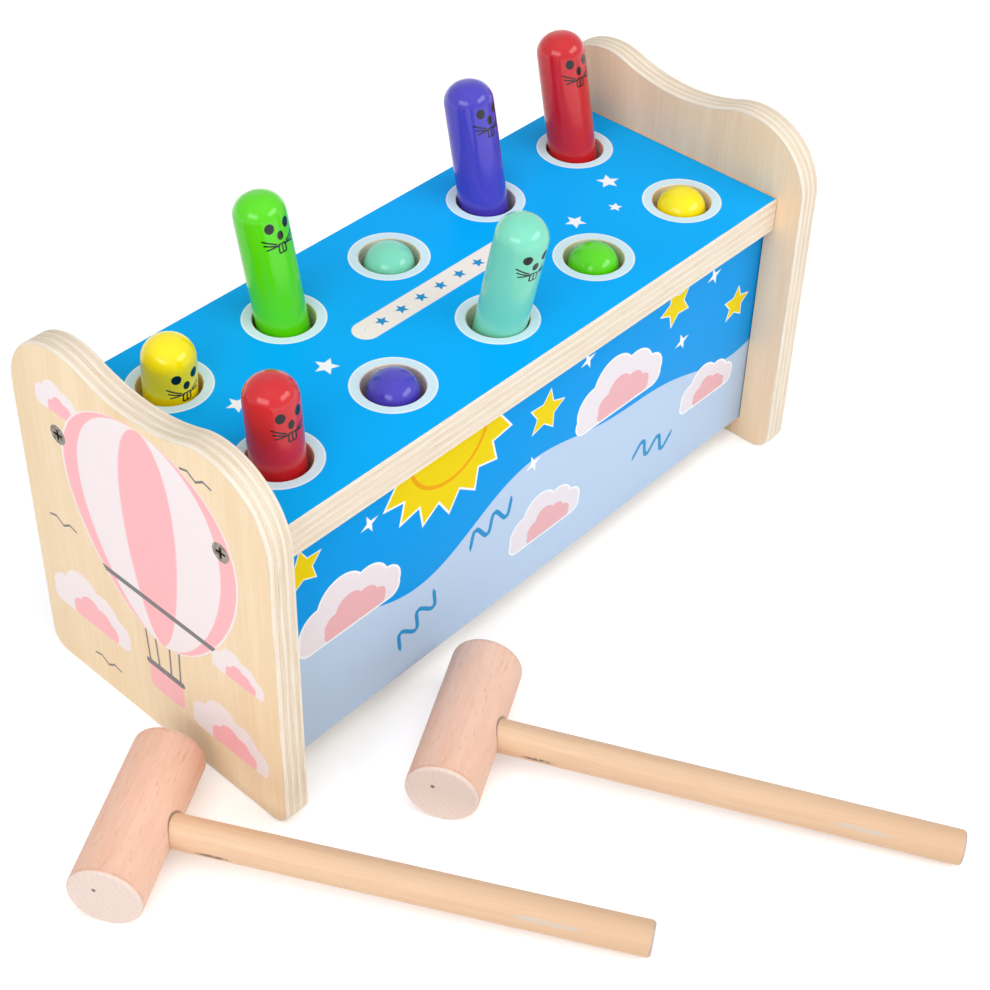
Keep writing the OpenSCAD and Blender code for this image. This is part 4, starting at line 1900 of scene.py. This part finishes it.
@dataclass
class Studio:
    """A white floor, soft lights and the camera."""

    camera_place: Triple = (-0.36969, -0.29695, 0.52709)
    azimuth: float = 48.029
    elevation: float = 39.351
    roll: float = 1.353
    lens: float = 70.569
    shift: Place = (0.01515, -0.09596)
    lights: tuple[SoftBox, ...] = (
        SoftBox("left_box", (-1.5, -0.32, 0.9), (1.4, 0.6), 10.6),
        SoftBox("front_box", (0.67, -1.38, 1.0), (1.4, 0.6), 11.6),
        SoftBox("top_box", (-0.4, -0.4, 2.0), (2.2, 2.2), 20.5, False),
    )
    target: Triple = (0.0, 0.0, 0.08)
    sky: float = 0.37
    floor_half: float = 4.0
    floor_rough: float = 0.9
    floor_glow: float = 0.26
    floor_near: float = 0.45

    def dress(self) -> None:
        """Sets up the floor, the lights, the white surroundings and the camera."""
        self.lay_floor()
        for light in self.lights:
            light.hang(self.target)
        self.surround()
        self.aim()
        bpy.context.scene.view_settings.view_transform = "Standard"

    @staticmethod
    def seen(sheet: Sheet) -> Value:
        """One for the rays that show a surface, and zero for those that only light others."""
        path = sheet.node("LightPath")
        return (path + path.output("Is Glossy Ray") + path.output("Is Transmission Ray")).clamped()

    def lay_floor(self) -> None:
        """Lays a plain pale floor, which stays white where the lamps no longer reach it."""
        work = Workpiece()
        bmesh.ops.create_grid(work.bm, x_segments=2, y_segments=2, size=self.floor_half)
        sheet = Sheet.material("floor")
        x, y, _ = sheet.axes(sheet.vector())
        far = (Drawing(sheet, x, y).reach() - self.floor_near).most(0.0)
        glow = sheet.mix(self.seen(sheet) * (far + self.floor_glow).clamped(), NO_LIGHT, FULL_LIGHT)
        pale = sheet.surface(Ink.FLOOR.rgba, self.floor_rough, Emission_Color=glow, Emission_Strength=1.0)
        floor = work.finish("floor", [pale], closed=False)

    def surround(self) -> None:
        """Makes white surroundings that light the object softly."""
        world = bpy.data.worlds.new("surroundings")
        bpy.context.scene.world = world
        sheet = Sheet(world)
        light = sheet.node("Background", None, {"Color": FULL_LIGHT, "Strength": self.sky})
        white = sheet.node("Background", None, {"Color": FULL_LIGHT, "Strength": 1.0})
        mixed = sheet.node("MixShader", None, {0: self.seen(sheet), 1: light, 2: white})
        sheet.node("OutputWorld", None, {"Surface": mixed})

    def aim(self) -> None:
        """Sets up the camera at the photographed angle."""
        data = bpy.data.cameras.new("camera")
        data.lens = self.lens
        data.shift_x, data.shift_y = self.shift
        camera = bpy.data.objects.new("camera", data)
        heading = Matrix.Rotation(-math.radians(self.azimuth), 4, "Z")
        tilt = Matrix.Rotation(math.radians(90 - self.elevation), 4, "X")
        roll = Matrix.Rotation(math.radians(self.roll), 4, "Z")
        camera.matrix_world = Matrix.Translation(self.camera_place) @ heading @ tilt @ roll
        bpy.context.scene.collection.objects.link(camera)
        bpy.context.scene.camera = camera


def main() -> None:
    """Builds and dresses the sub-assemblies in order."""
    logging.basicConfig(level=logging.INFO, format="%(name)s: %(message)s")
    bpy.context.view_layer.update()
    Studio().dress()
    back = [
        Peg("back", Ink.YELLOW, -3.0),
        Peg("back", Ink.GREEN, -1.0),
        Peg("back", Ink.MINT),
        Peg("back", Ink.PURPLE, 2.0),
        Peg("back", Ink.RED, -6.0),
    ]
    front = [
        Peg("front", Ink.RED, -3.0),
        Peg("front", Ink.PURPLE),
        Peg("front", Ink.MINT, -9.0),
        Peg("front", Ink.GREEN),
        Peg("front", Ink.YELLOW),
    ]
    EndPanel("left_ply_panel", "left_end_panel", "left_screws", -1).dress()
    EndPanel("right_ply_panel", "right_end_panel", "right_screws", 1).dress()
    TopBoard(back + front).dress()
    LongBoard("printed_front", "front_board", -1).dress()
    LongBoard("printed_back", "back_board", 1).dress()
    for peg in back + front:
        peg.dress()
    webbing = Webbing().make()
    for number, (back_peg, front_peg) in enumerate(zip(back, front), start=1):
        Strap(number, back_peg, front_peg, webbing).dress()
    Hardware(len(back)).dress()
    Mallet(1, 60.0).dress()
    Mallet(2, 62.0).dress()


if __name__ == "__main__":
    main()
